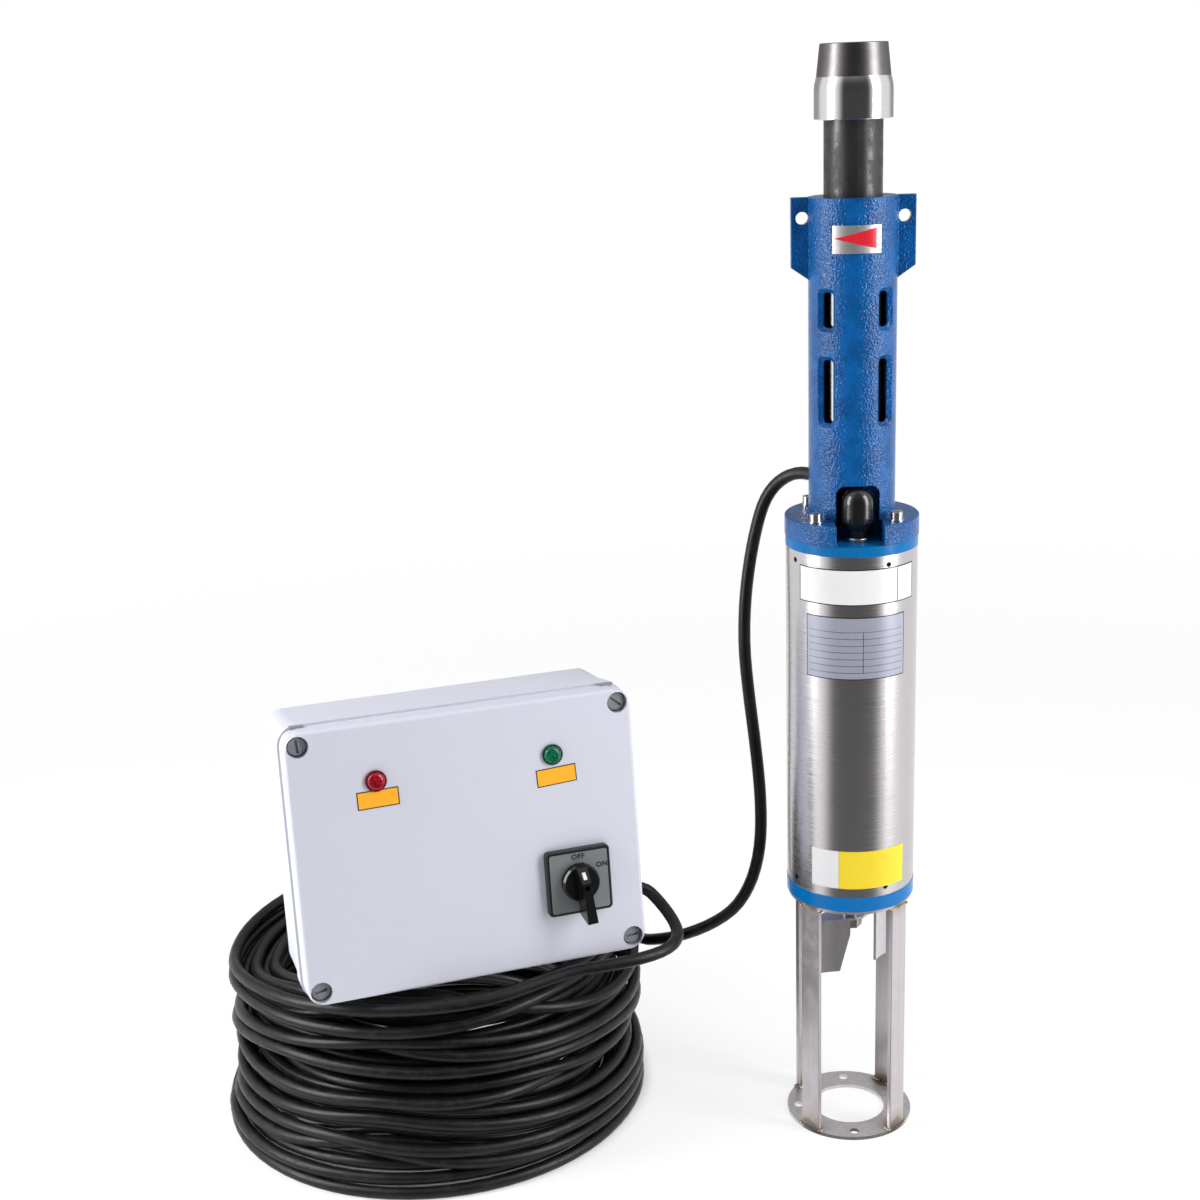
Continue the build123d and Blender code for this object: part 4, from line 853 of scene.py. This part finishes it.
@dataclass
class SupplyCable:
    """One cable: out of the boot, down to the coil, round its turns, and up to the control box."""

    box: BoxPlace
    diameter: float = 0.014
    centre: Pair = (-0.488, 0.080)
    boot_foot: Point = (0.0020, -0.038, 0.741)
    boot_aim: Point = (-0.572, 0.82, 0.30)
    boot_length: float = 0.024
    meet_angle: float = 14.0
    meet_radius: float = 0.2523
    meet_height: float = 0.152
    descent_radius: float = 0.2535
    descent_steps: int = 13
    turns: int = 35
    per_turn: int = 24
    slots: tuple[float, ...] = (0.192, 0.205, 0.217, 0.229, 0.2405)
    shift_every: Pair = (250, 450)
    shift_length: float = 75.0
    top: float = 0.2205
    start_angle: float = 200.0
    end_angle: float = 292.0
    end_length: float = 110.0
    end_radius: float = 0.2415
    end_height: float = 0.2265
    slump_turns: int = 12
    slump_angle: float = 236.0
    slump_size: float = 0.019
    seed: int = 38

    def on_coil(self, angle: float, radius: float, height: float) -> Vector:
        """Returns a point by its angle in radians round the coil, its radius and its height."""
        x, y = self.centre
        return Vector((x + radius * math.cos(angle), y + radius * math.sin(angle), height))

    def lead(self) -> list[Vector]:
        """Returns the loose stretch from the boot to the coil's side."""
        aim = Vector(self.boot_aim).normalized()
        mouth = Vector(self.boot_foot) + aim * self.boot_length
        between = [(-0.043, 0.025, 0.7605), (-0.0595, 0.0409, 0.7575), (-0.0766, 0.0515, 0.745),
                   (-0.0903, 0.056, 0.724), (-0.0996, 0.0568, 0.6915), (-0.1076, 0.0556, 0.6508),
                   (-0.113, 0.053, 0.606), (-0.1145, 0.050, 0.556), (-0.110, 0.047, 0.503),
                   (-0.104, 0.045, 0.450), (-0.099, 0.044, 0.398), (-0.097, 0.045, 0.350),
                   (-0.0995, 0.047, 0.307), (-0.109, 0.051, 0.267), (-0.127, 0.057, 0.232),
                   (-0.156, 0.066, 0.207), (-0.192, 0.080, 0.186), (-0.224, 0.107, 0.168)]
        meet = self.on_coil(math.radians(self.meet_angle), self.meet_radius, self.meet_height)
        return [mouth, mouth + aim * 0.027, *(Vector(p) for p in between), meet]

    def descent(self) -> list[Vector]:
        """Returns the stretch behind the coil, where the cable runs down to the floor."""
        points = []
        drop = self.diameter / 2 - self.meet_height
        for step in range(1, self.descent_steps):
            share = step / self.descent_steps
            angle = math.radians(self.meet_angle + (self.start_angle - self.meet_angle) * share)
            points.append(self.on_coil(angle, self.descent_radius, self.meet_height + drop * ease(share)))
        return points

    def shifts(self, first: float, last: float, rnd: random.Random) -> list[Pair]:
        """Draws where the winding hand moves the cable to another of the coil's places.

        Args:
            first: the winding's first angle, in radians.
            last: its last angle.
            rnd: the seeded source of the uneven hand.

        Returns:
            The angle and the change of radius of each move.
        """
        shifts = []
        current = len(self.slots) - 1
        bag: list[int] = []
        while first < last - 2 * math.pi:
            first += math.radians(rnd.uniform(*self.shift_every))
            if not bag:
                bag = list(range(len(self.slots)))
                rnd.shuffle(bag)
            following = bag.pop()
            if following == current and bag:
                bag.insert(0, following)
                following = bag.pop()
            shifts.append((first, self.slots[following] - self.slots[current]))
            current = following
        return shifts

    def radii(self, angles: Sequence[float]) -> list[float]:
        """Moves the cable between the coil's inner, middle and outer places as it is wound.

        Args:
            angles: the winding's angle at each point, in radians.

        Returns:
            The radius at each point.
        """
        shifts = self.shifts(angles[0], angles[-1], random.Random(self.seed))
        length = math.radians(self.shift_length)
        waver_size = 0.0012
        waver = ((1.0, 0.71, 1.3), (0.8, 1.63, 4.0), (0.5, 3.1, 2.2))
        result = []
        for angle in angles:
            radius = self.slots[-1]
            for start, change in shifts:
                radius += change * ease((angle - start) / length)
            radius += waver_size * sum(size * math.sin(rate * angle + phase) for size, rate, phase in waver)
            result.append(radius)
        return result

    def heights(self, radii: Sequence[float]) -> list[float]:
        """Lets each turn settle on those under it, bridging the gaps as a stiff cable does.

        Args:
            radii: the radius at each point of the winding.

        Returns:
            The height of the cable's middle at each point.
        """
        floor = self.diameter / 2
        result = [0.0] * len(radii)
        for first in range(0, len(radii), self.per_turn):
            last = min(first + self.per_turn, len(radii))
            held = []
            for here in range(first, last):
                height = floor
                for below in range(here - self.per_turn, -1, -self.per_turn):
                    aside = abs(radii[here] - radii[below])
                    if aside < self.diameter:
                        height = max(height, result[below] + math.sqrt(self.diameter ** 2 - aside ** 2))
                held.append(height)
            now = held[:]
            for _ in range(6):
                before = [result[first - 1] if first else now[0], *now[:-1]]
                after = [*now[1:], now[-1]]
                now = [max(h, 0.5 * n + 0.25 * (b + a)) for h, n, b, a in zip(held, now, before, after)]
            result[first:last] = now
        scale = (self.top - floor) / (max(result) - floor)
        return [floor + (height - floor) * scale for height in result]

    def coil(self) -> list[Vector]:
        """Returns the winding's points, with the lowest turns slumped outwards at the front left."""
        full = 2 * math.pi
        start = math.radians(self.start_angle)
        end = math.radians(self.end_angle) + full * self.turns
        count = round((end - start) / full * self.per_turn)
        angles = [start + (end - start) * i / count for i in range(count + 1)]
        radii = self.radii(angles)
        points = []
        for angle, radius, height in zip(angles, radii, self.heights(radii)):
            low = max(0.0, 1 - (angle - start) / full / self.slump_turns)
            slump = low * (0.45 + 0.55 * math.cos(angle - math.radians(self.slump_angle)))
            ending = ease(1 - (angles[-1] - angle) / math.radians(self.end_length))
            radius += (self.end_radius - radius) * ending
            height += (self.end_height - height) * ending
            points.append(self.on_coil(angle, radius + self.slump_size * slump * slump, height))
        return points

    def tail(self) -> list[Vector]:
        """Returns the last stretch, from the coil's top round to the gland on the box."""
        edge = self.box.width / 2
        route = [(-0.098, -0.1565, 0.011), (-0.058, -0.1565, 0.015), (-0.017, -0.1560, 0.016),
                 (0.021, -0.1545, 0.008), (0.042, -0.1510, -0.011), (0.049, -0.1450, -0.036),
                 (0.048, -0.1360, -0.059), (0.041, -0.1230, -0.077), (0.030, -0.1100, -0.085),
                 (0.016, -0.1080, -0.085)]
        return [self.box.matrix() @ Vector((edge + x, y, z)) for x, y, z in route]

    def build(self) -> None:
        route = [*self.lead(), *self.descent(), *self.coil(), *self.tail()]
        curve = bpy.data.curves.new("supply_cable_laid", "CURVE")
        curve.dimensions = "3D"
        curve.resolution_u = 3
        curve.bevel_depth = self.diameter / 2
        curve.bevel_resolution = 3
        curve.use_fill_caps = True
        line = curve.splines.new("NURBS")
        line.points.add(len(route) - 1)
        for point, place in zip(line.points, route):
            point.co = (*place, 1.0)
        line.order_u = 3
        line.use_endpoint_u = True
        line.resolution_u = 3
        cable = bpy.data.objects.new("supply_cable_laid", curve)
        bpy.context.scene.collection.objects.link(cable)
        mount(dress(cable, SHEATH), PUMP_SET)
        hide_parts("supply_cable", "cable_coil", "box_cable")
        length = sum((b - a).length for a, b in zip(route, route[1:]))
        log.info("cable route is %.2f m long", length)


# Plates on the pump


@dataclass
class CurvedPlate:
    """A thin plate or film wrapped on an upright cylinder, with angles from the front."""

    name: str
    radius: float
    angles: Pair
    levels: Pair
    thick: float = 0.0003
    border: float = 0.0

    def strip(self) -> Piece:
        """Cuts the plate out of a round wall.

        Returns:
            The curved sheet, without thickness.
        """
        clear_selection()
        low, high = self.levels
        bpy.ops.mesh.primitive_cylinder_add(vertices=180, radius=self.radius, depth=high - low,
                                            end_fill_type="NOTHING", location=(0, 0, (low + high) / 2))
        sheet = settle(added(self.name))
        edit_all(sheet)
        for angle, side in zip(self.angles, (-1, 1)):
            turn = math.radians(angle)
            cut_away(Vector((0, 0, 0)), Vector((math.cos(turn), math.sin(turn), 0)) * side)
        leave_edit()
        return sheet

    def build(self, *finishes: Finish) -> Piece:
        """Cuts the plate and gives it its border and thickness.

        Args:
            *finishes: the film's finish, and the border's where it has one.

        Returns:
            The plate.
        """
        sheet = self.strip()
        if self.border:
            add_border(sheet, self.border)
        thicken(sheet, self.thick, *finishes)
        smooth(sheet, CREASE)
        return sheet


@dataclass
class PumpPlates:
    """The bare films on the motor shell and the turning arrow on the casing."""

    shell_radius: float = 0.0708
    rule_lift: float = 0.00014
    rule_first: float = 0.5625
    rule_step: float = 0.0075
    rule_count: int = 7
    rule_width: float = 0.00035
    casing_radius: float = 0.0461
    arrow_angles: Pair = (-30.7, 24.5)
    arrow_levels: Pair = (1.004, 1.025)
    arrow_lift: float = 0.0004

    def film(self, name: str, angles: Pair, levels: Pair, *finishes: Finish, lift: float = 0.0,
             border: float = 0.0) -> None:
        """Adds one film on the motor shell.

        Args:
            name: the piece's name.
            angles: where it starts and ends round the shell.
            levels: its lower and upper edge.
            *finishes: the film's finish, and the border's where it has one.
            lift: how far it lies outside the shell's films.
            border: its border's width.
        """
        film = CurvedPlate(name, self.shell_radius + lift, angles, levels, border=border)
        mount(film.build(*finishes), PUMP_SET)

    def rules(self) -> None:
        """Adds the rating film's rules: level ones, and one upright that splits them."""
        radius = self.shell_radius + self.rule_lift
        lines = []
        for row in range(self.rule_count):
            level = self.rule_first + self.rule_step * row
            levels = (level, level + self.rule_width)
            lines.append(CurvedPlate(f"rating_rule_{row}", radius, (-44.5, 42), levels).build(INK_BLACK))
        split = CurvedPlate("rating_rule_split", radius, (4.0, 4.35), (self.rule_first, 0.6075))
        lines.append(split.build(INK_BLACK))
        mount(join(lines, "rating_rules"), PUMP_SET)

    def films(self) -> None:
        """Adds the three films of the motor shell, all without print."""
        self.film("upper_film", (-56, 57), (0.637, 0.676), WHITE_FILM, INK_BLACK, border=0.0011)
        self.film("upper_film_divider", (36.0, 36.7), (0.6385, 0.6745), INK_BLACK, lift=0.00012)
        self.film("rating_film", (-47.5, 45), (0.555, 0.624), SILVER_FILM, INK_BLACK, border=0.0010)
        self.rules()
        self.film("lower_film_white", (-42, -16.5), (0.313, 0.357), WHITE_FILM)
        self.film("lower_film_yellow", (-16.3, 47.5), (0.313, 0.357), YELLOW_FILM)

    def arrow(self) -> None:
        """Adds the foil plate with the red arrow that shows the turning direction."""
        plate = CurvedPlate("arrow_plate", self.casing_radius, (-32.5, 31), (0.9995, 1.0275), thick=0.0005)
        mount(plate.build(BARE_FOIL), PUMP_SET)
        head = CurvedPlate("arrow_head", self.casing_radius + self.arrow_lift, self.arrow_angles,
                           self.arrow_levels)
        sheet = head.strip()
        turns = [math.radians(angle) for angle in self.arrow_angles]
        tip, base = (Vector((math.sin(turn), -math.cos(turn), 0)) * head.radius for turn in turns)
        low, high = self.arrow_levels
        tip.z = (low + high) / 2
        for end, side in ((high, 1), (low, -1)):
            base.z = end
            away = Vector((0, -1, 0)).cross(base - tip).normalized()
            away = away if away.z * side > 0 else -away
            edit_all(sheet)
            cut_away(tip, away)
            leave_edit()
        thicken(sheet, head.thick, INK_RED)
        smooth(sheet, CREASE)
        mount(sheet, PUMP_SET)

    def build(self) -> None:
        """Adds the films and the arrow."""
        self.films()
        self.arrow()


# Stand


@dataclass
class StandWelds:
    """The weld beads where the stand's legs meet the base ring and the upper ring."""

    leg_radius: float = 0.0677
    leg_width: float = 0.025
    leg_thick: float = 0.005
    base_top: float = 0.004
    ring_bottom: float = 0.2815
    ripples: int = 4
    ripple_radius: float = 0.0026
    ripple_step: float = 0.0021
    inner_spots: Pair = (-0.0095, 0.0085)

    def bead(self) -> Piece:
        """Models one short bead as a row of overlapping ripples.

        Returns:
            The bead at the origin, along X.
        """
        drops = []
        for ripple in range(self.ripples):
            clear_selection()
            across = self.ripple_step * (ripple - (self.ripples - 1) / 2)
            bpy.ops.mesh.primitive_uv_sphere_add(segments=16, ring_count=10, radius=self.ripple_radius,
                                                 location=(across, 0, 0), scale=(0.85, 1.15, 0.62),
                                                 rotation=(0, 0, 0.12 * ripple))
            drops.append(settle(added(f"ripple_{ripple}")))
        bead = join(drops, "bead")
        apply_modifier(bead, "REMESH", mode="VOXEL", voxel_size=0.00045)
        apply_modifier(bead, "SMOOTH", factor=0.6, iterations=3)
        smooth(bead, 60.0)
        return bead

    def spots(self) -> list[Matrix]:
        """Returns where one leg's beads lie: on both edges at foot and head, and inside its foot."""
        spots = []
        levels = ((self.base_top + 0.0006, 1.0), (self.ring_bottom - 0.0006, 0.85))
        for side in (-1, 1):
            for level, size in levels:
                place = (self.leg_radius - 0.0010, side * (self.leg_width / 2 + 0.0006), level)
                lay = Matrix.Rotation(math.radians(8 * side), 4, "Z")
                spots.append(Matrix.Translation(place) @ lay @ Matrix.Scale(size, 4))
        inner = self.leg_radius - self.leg_thick / 2 - 0.0009
        for along in self.inner_spots:
            place = Matrix.Translation((inner, along, self.base_top + 0.0008))
            spots.append(place @ Matrix.Rotation(math.radians(90), 4, "Z") @ Matrix.Scale(1.15, 4))
        return spots

    def build(self) -> None:
        """Copies the bead to every leg's spots."""
        model = self.bead()
        turns = [Matrix.Rotation(math.radians(45 + 90 * leg), 4, "Z") for leg in range(4)]
        copies = [copy_piece(model, turn @ spot) for turn in turns for spot in self.spots()]
        hold(model)
        bpy.ops.object.delete()
        mount(dress(join(copies, "stand_weld_beads"), WELD_BEAD), PUMP_SET)


# Control box


@dataclass
class BoxTrim:
    """What sits on the control box's lid: labels, the switch's face, its words and its mark."""

    place: BoxPlace
    switch_x: float = 0.115
    switch_y: float = -0.057
    switch_thick: float = 0.009
    face_side: float = 0.066
    word_lift: float = 0.0007
    knob_foot: float = 0.0093
    mark_spot: Point = (0.0, 0.0126, 0.0226)
    mark_lean: float = -41.4

    def on_lid(self, piece: Piece, x: float, y: float, z: float,
               turn: float = 0.0) -> Piece:
        """Moves a flat piece from the floor to its place on the lid.

        Args:
            piece: the piece, modelled flat about the origin.
            x: how far right on the lid.
            y: how far up the lid.
            z: how far in front of it.
            turn: its turn on the lid, counter-clockwise.

        Returns:
            The piece with its place in its mesh.
        """
        settle(piece)
        local = Matrix.Translation((x, y, z)) @ Matrix.Rotation(math.radians(turn), 4, "Z")
        piece.data.transform(self.place.matrix() @ local)
        return piece

    def sheet(self, name: str, size: Pair, thick: float, *finishes: Finish, border: float = 0.0,
              corner: float = 0.0) -> Piece:
        """Makes a flat plate with an optional printed border and rounded corners.

        Args:
            name: the piece's name.
            size: its width and height.
            thick: its thickness.
            *finishes: the face's finish, and the border's.
            border: the border's width.
            corner: how far the corners are rounded.

        Returns:
            The plate, flat on the origin.
        """
        clear_selection()
        bpy.ops.mesh.primitive_plane_add(size=1.0)
        plate = added(name)
        plate.scale = (*size, 1.0)
        settle(plate)
        if corner:
            edit_all(plate)
            bpy.ops.mesh.bevel(offset=corner, segments=5, affect="VERTICES")
            leave_edit()
        if border:
            add_border(plate, border)
        return thicken(plate, thick, *finishes)

    def labels(self) -> None:
        """Adds the two bare orange labels under the lamps."""
        spots = (("red_lamp_label", -0.0961, 0.0675, 1.0), ("green_lamp_label", 0.1001, 0.0629, 3.0))
        for name, x, y, turn in spots:
            label = self.sheet(name, (0.0450, 0.0195), 0.0003, ORANGE_FILM, INK_BLACK, border=0.0011)
            mount(self.on_lid(label, x, y, 0.00005, turn), PUMP_SET)

    def word(self, text: str, x: float, y: float) -> Piece:
        """Sets one word of the switch's scale as a thin solid.

        Args:
            text: the word.
            x: its middle, right of the switch's middle.
            y: its middle, above the switch's middle.

        Returns:
            The word as a mesh.
        """
        clear_selection()
        bpy.ops.object.text_add()
        word = bpy.context.object
        word.name = f"switch_word_{text.lower()}"
        word.data.body = text
        word.data.size = 0.0078
        word.data.offset = 0.00022
        word.data.space_character = 1.15
        word.data.extrude = 0.00008
        word.data.align_x = "CENTER"
        word.data.align_y = "CENTER"
        hold(word)
        bpy.ops.object.convert(target="MESH")
        lift = self.switch_thick + self.word_lift
        return dress(self.on_lid(word, self.switch_x + x, self.switch_y + y, lift), INK_BLACK)

    def switch(self) -> None:
        """Adds the switch's grey face, its two words, and the knob's mark."""
        face = self.sheet("switch_face", (self.face_side, self.face_side), 0.0005, FACE_GREY, corner=0.0025)
        mount(self.on_lid(face, self.switch_x, self.switch_y, self.switch_thick), PUMP_SET)
        words = [self.word("OFF", -0.0003, 0.0283), self.word("ON", 0.0262, 0.0156)]
        mount(join(words, "switch_words"), PUMP_SET)
        mark = self.sheet("knob_mark", (0.0052, 0.0100), 0.0003, MARK_WHITE, INK_BLACK, border=0.0006)
        lean = Matrix.Rotation(math.radians(self.mark_lean), 4, "X")
        mark.data.transform(Matrix.Translation(self.mark_spot) @ lean)
        mount(self.on_lid(mark, self.switch_x, self.switch_y, self.knob_foot, 4.0), SWITCH)

    def build(self) -> None:
        """Adds every piece of trim."""
        self.labels()
        self.switch()


# Studio


class Side(Enum):
    """Which side of the pump a softbox stands on."""

    LEFT = -1
    RIGHT = 1


@dataclass
class Studio:
    """The pale floor, the soft lights and the camera."""

    eye: Point = (-0.2154, -1.8981, 1.1745)
    right: Point = (0.9992, 0.0209, -0.0336)
    up: Point = (0.0265, 0.2760, 0.9608)
    lens: float = 54.26
    middle: Point = (-0.25, 0.0, 0.55)
    softbox_aside: float = 1.7
    softbox_height: float = 1.2
    softbox_size: Pair = (0.6, 2.0)
    front_level: float = 0.06
    front_edges: Pair = (34, 60)
    back_level: float = 0.4
    back_edges: Pair = (112, 134)
    ambient: float = 0.62
    coil_centre: Point = (-0.488, 0.080, 0.0)
    coil_edges: Pair = (0.235, 0.262)
    near_glow: float = 0.78
    glow_edges: Pair = (0.9, 3.0)
    floor_mirrored: float = 0.92

    def around(self, desk: NodeDesk, where: Socket) -> Socket:
        """Returns the angle from the front, in radians, for the material's coordinates."""
        axis = desk.parts(where)
        return desk.maths("ABSOLUTE", desk.maths("ARCTAN2", axis["X"], desk.times(axis["Y"], -1.0)))

    def by_angle(self, desk: NodeDesk, around: Socket, edges: Pair, levels: Pair) -> Socket:
        """Returns a level that changes from one to the other between two angles."""
        return desk.remap(around, *(math.radians(edge) for edge in edges), *levels)

    def front_cloth(self, desk: NodeDesk, around: Socket) -> Socket:
        """Returns how bright the studio is by the angle from the front, where a dark cloth hangs."""
        return self.by_angle(desk, around, self.front_edges, (self.front_level, 1.0))

    def mirrored(self, desk: NodeDesk, seen: Node) -> Socket:
        """Returns 1 where something is seen in a mirror or through glass."""
        return desk.maths("MAXIMUM", seen.outputs["Is Glossy Ray"], seen.outputs["Is Transmission Ray"])

    def show(self, desk: NodeDesk, output: str, factor: Socket, *shaders: Node) -> None:
        """Mixes two shaders by a factor at a tree's output.

        Args:
            desk: the tree.
            output: the output node's name.
            factor: 0 for the first shader, 1 for the second.
            *shaders: the two shaders.
        """
        mixed = desk.node("ShaderNodeMixShader")
        for socket, value in zip(mixed.inputs, (factor, *(shader.outputs[0] for shader in shaders))):
            desk.put(socket, value)
        desk.feed(desk.tree.nodes[output], Surface=mixed.outputs[0])

    def floor(self) -> None:
        """Adds the wide pale floor, which keeps the shadows and is dark inside the coil."""
        clear_selection()
        bpy.ops.mesh.primitive_plane_add(size=40.0, location=(0, 0, 0))
        floor = added("pale_floor")
        made = bpy.data.materials.new("pale floor")
        made.use_nodes = True
        desk = NodeDesk(made.node_tree)
        shader = made.node_tree.nodes["Principled BSDF"]
        desk.feed(shader, Base_Color=(0.93, 0.93, 0.93), Roughness=0.9, Specular_IOR_Level=0.0)
        where = desk.place()
        far = desk.remap(desk.measure("LENGTH", where), *self.glow_edges, self.near_glow, 1.0)
        outside = desk.remap(desk.measure("DISTANCE", where, self.coil_centre), *self.coil_edges)
        seen = desk.node("ShaderNodeLightPath")
        mirrored = self.mirrored(desk, seen)
        cloth = self.front_cloth(desk, self.around(desk, where))
        dim = desk.times(mirrored, desk.maths("SUBTRACT", 1.0, cloth))
        glow = desk.feed(desk.node("ShaderNodeEmission"), Color=(1.0, 1.0, 1.0),
                         Strength=desk.maths("SUBTRACT", 1.0, dim))
        to_camera = desk.times(seen.outputs["Is Camera Ray"], desk.times(far, outside))
        reach = desk.maths("MAXIMUM", to_camera, desk.times(mirrored, self.floor_mirrored))
        self.show(desk, "Material Output", reach, shader, glow)
        floor.data.materials.append(made)

    def surround(self) -> None:
        """Sets a white backdrop, with a darker sector behind the camera for the metal to reflect."""
        world = bpy.data.worlds.new("studio")
        bpy.context.scene.world = world
        world.use_nodes = True
        desk = NodeDesk(world.node_tree)
        where = desk.node("ShaderNodeTexCoord").outputs["Generated"]
        around = self.around(desk, where)
        level = self.front_cloth(desk, around)
        up_light = desk.remap(desk.parts(where)["Z"], 0.25, 0.9, 0.0, 0.5)
        soft = desk.times(desk.maths("ADD", level, up_light), self.ambient)
        mirror = desk.times(level, self.by_angle(desk, around, self.back_edges, (1.0, self.back_level)))
        mirror = desk.maths("ADD", mirror, desk.times(up_light, self.ambient))
        seen = desk.node("ShaderNodeLightPath")
        pick = desk.node("ShaderNodeMix", data_type="FLOAT")
        for place, value in ((0, self.mirrored(desk, seen)), (2, soft), (3, mirror)):
            desk.put(pick.inputs[place], value)
        lit = desk.feed(world.node_tree.nodes["Background"], Color=(1.0, 1.0, 1.0), Strength=pick.outputs[0])
        white = desk.feed(desk.node("ShaderNodeBackground"), Color=(1.0, 1.0, 1.0), Strength=1.0)
        self.show(desk, "World Output", seen.outputs["Is Camera Ray"], lit, white)

    def softbox(self, name: str, side: Side, forward: float, power: float) -> None:
        """Hangs one upright softbox that faces the pump.

        Args:
            name: the lamp's name.
            side: the side it stands on.
            forward: its Y.
            power: its power in watts.
        """
        data = bpy.data.lights.new(name, "AREA")
        data.shape = "RECTANGLE"
        data.size, data.size_y = self.softbox_size
        data.energy = power
        lamp = bpy.data.objects.new(name, data)
        bpy.context.scene.collection.objects.link(lamp)
        lamp.location = (side.value * self.softbox_aside + self.middle[0], forward, self.softbox_height)
        aim = Vector(self.middle) - lamp.location
        lamp.rotation_euler = aim.to_track_quat("-Z", "Y").to_euler()

    def camera(self) -> None:
        """Sets the camera where the photograph was taken from."""
        data = bpy.data.cameras.new("camera")
        data.sensor_width = 36.0
        data.lens = self.lens
        data.clip_end = 100.0
        camera = bpy.data.objects.new("camera", data)
        bpy.context.scene.collection.objects.link(camera)
        right = Vector(self.right).normalized()
        back = right.cross(Vector(self.up).normalized()).normalized()
        turned = Matrix((right, back.cross(right), back)).transposed().to_4x4()
        camera.matrix_world = Matrix.Translation(self.eye) @ turned
        bpy.context.scene.camera = camera

    def build(self) -> None:
        """Sets up the floor, the surround, the lights and the camera."""
        self.floor()
        self.surround()
        self.softbox("left_softbox", Side.LEFT, -0.55, 44.0)
        self.softbox("right_softbox", Side.RIGHT, -0.75, 38.0)
        self.camera()
        bpy.context.scene.view_settings.view_transform = "Standard"


def main() -> None:
    """Builds the looks in order and reports each piece."""
    logging.basicConfig(level=logging.INFO, format="%(name)s: %(message)s")
    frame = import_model()
    place = BoxPlace()
    Studio().build()
    SupplyCable(place).build()
    dress_solids(frame["nodes"])
    PumpPlates().build()
    StandWelds().build()
    BoxTrim(place).build()


if __name__ == "__main__":
    main()
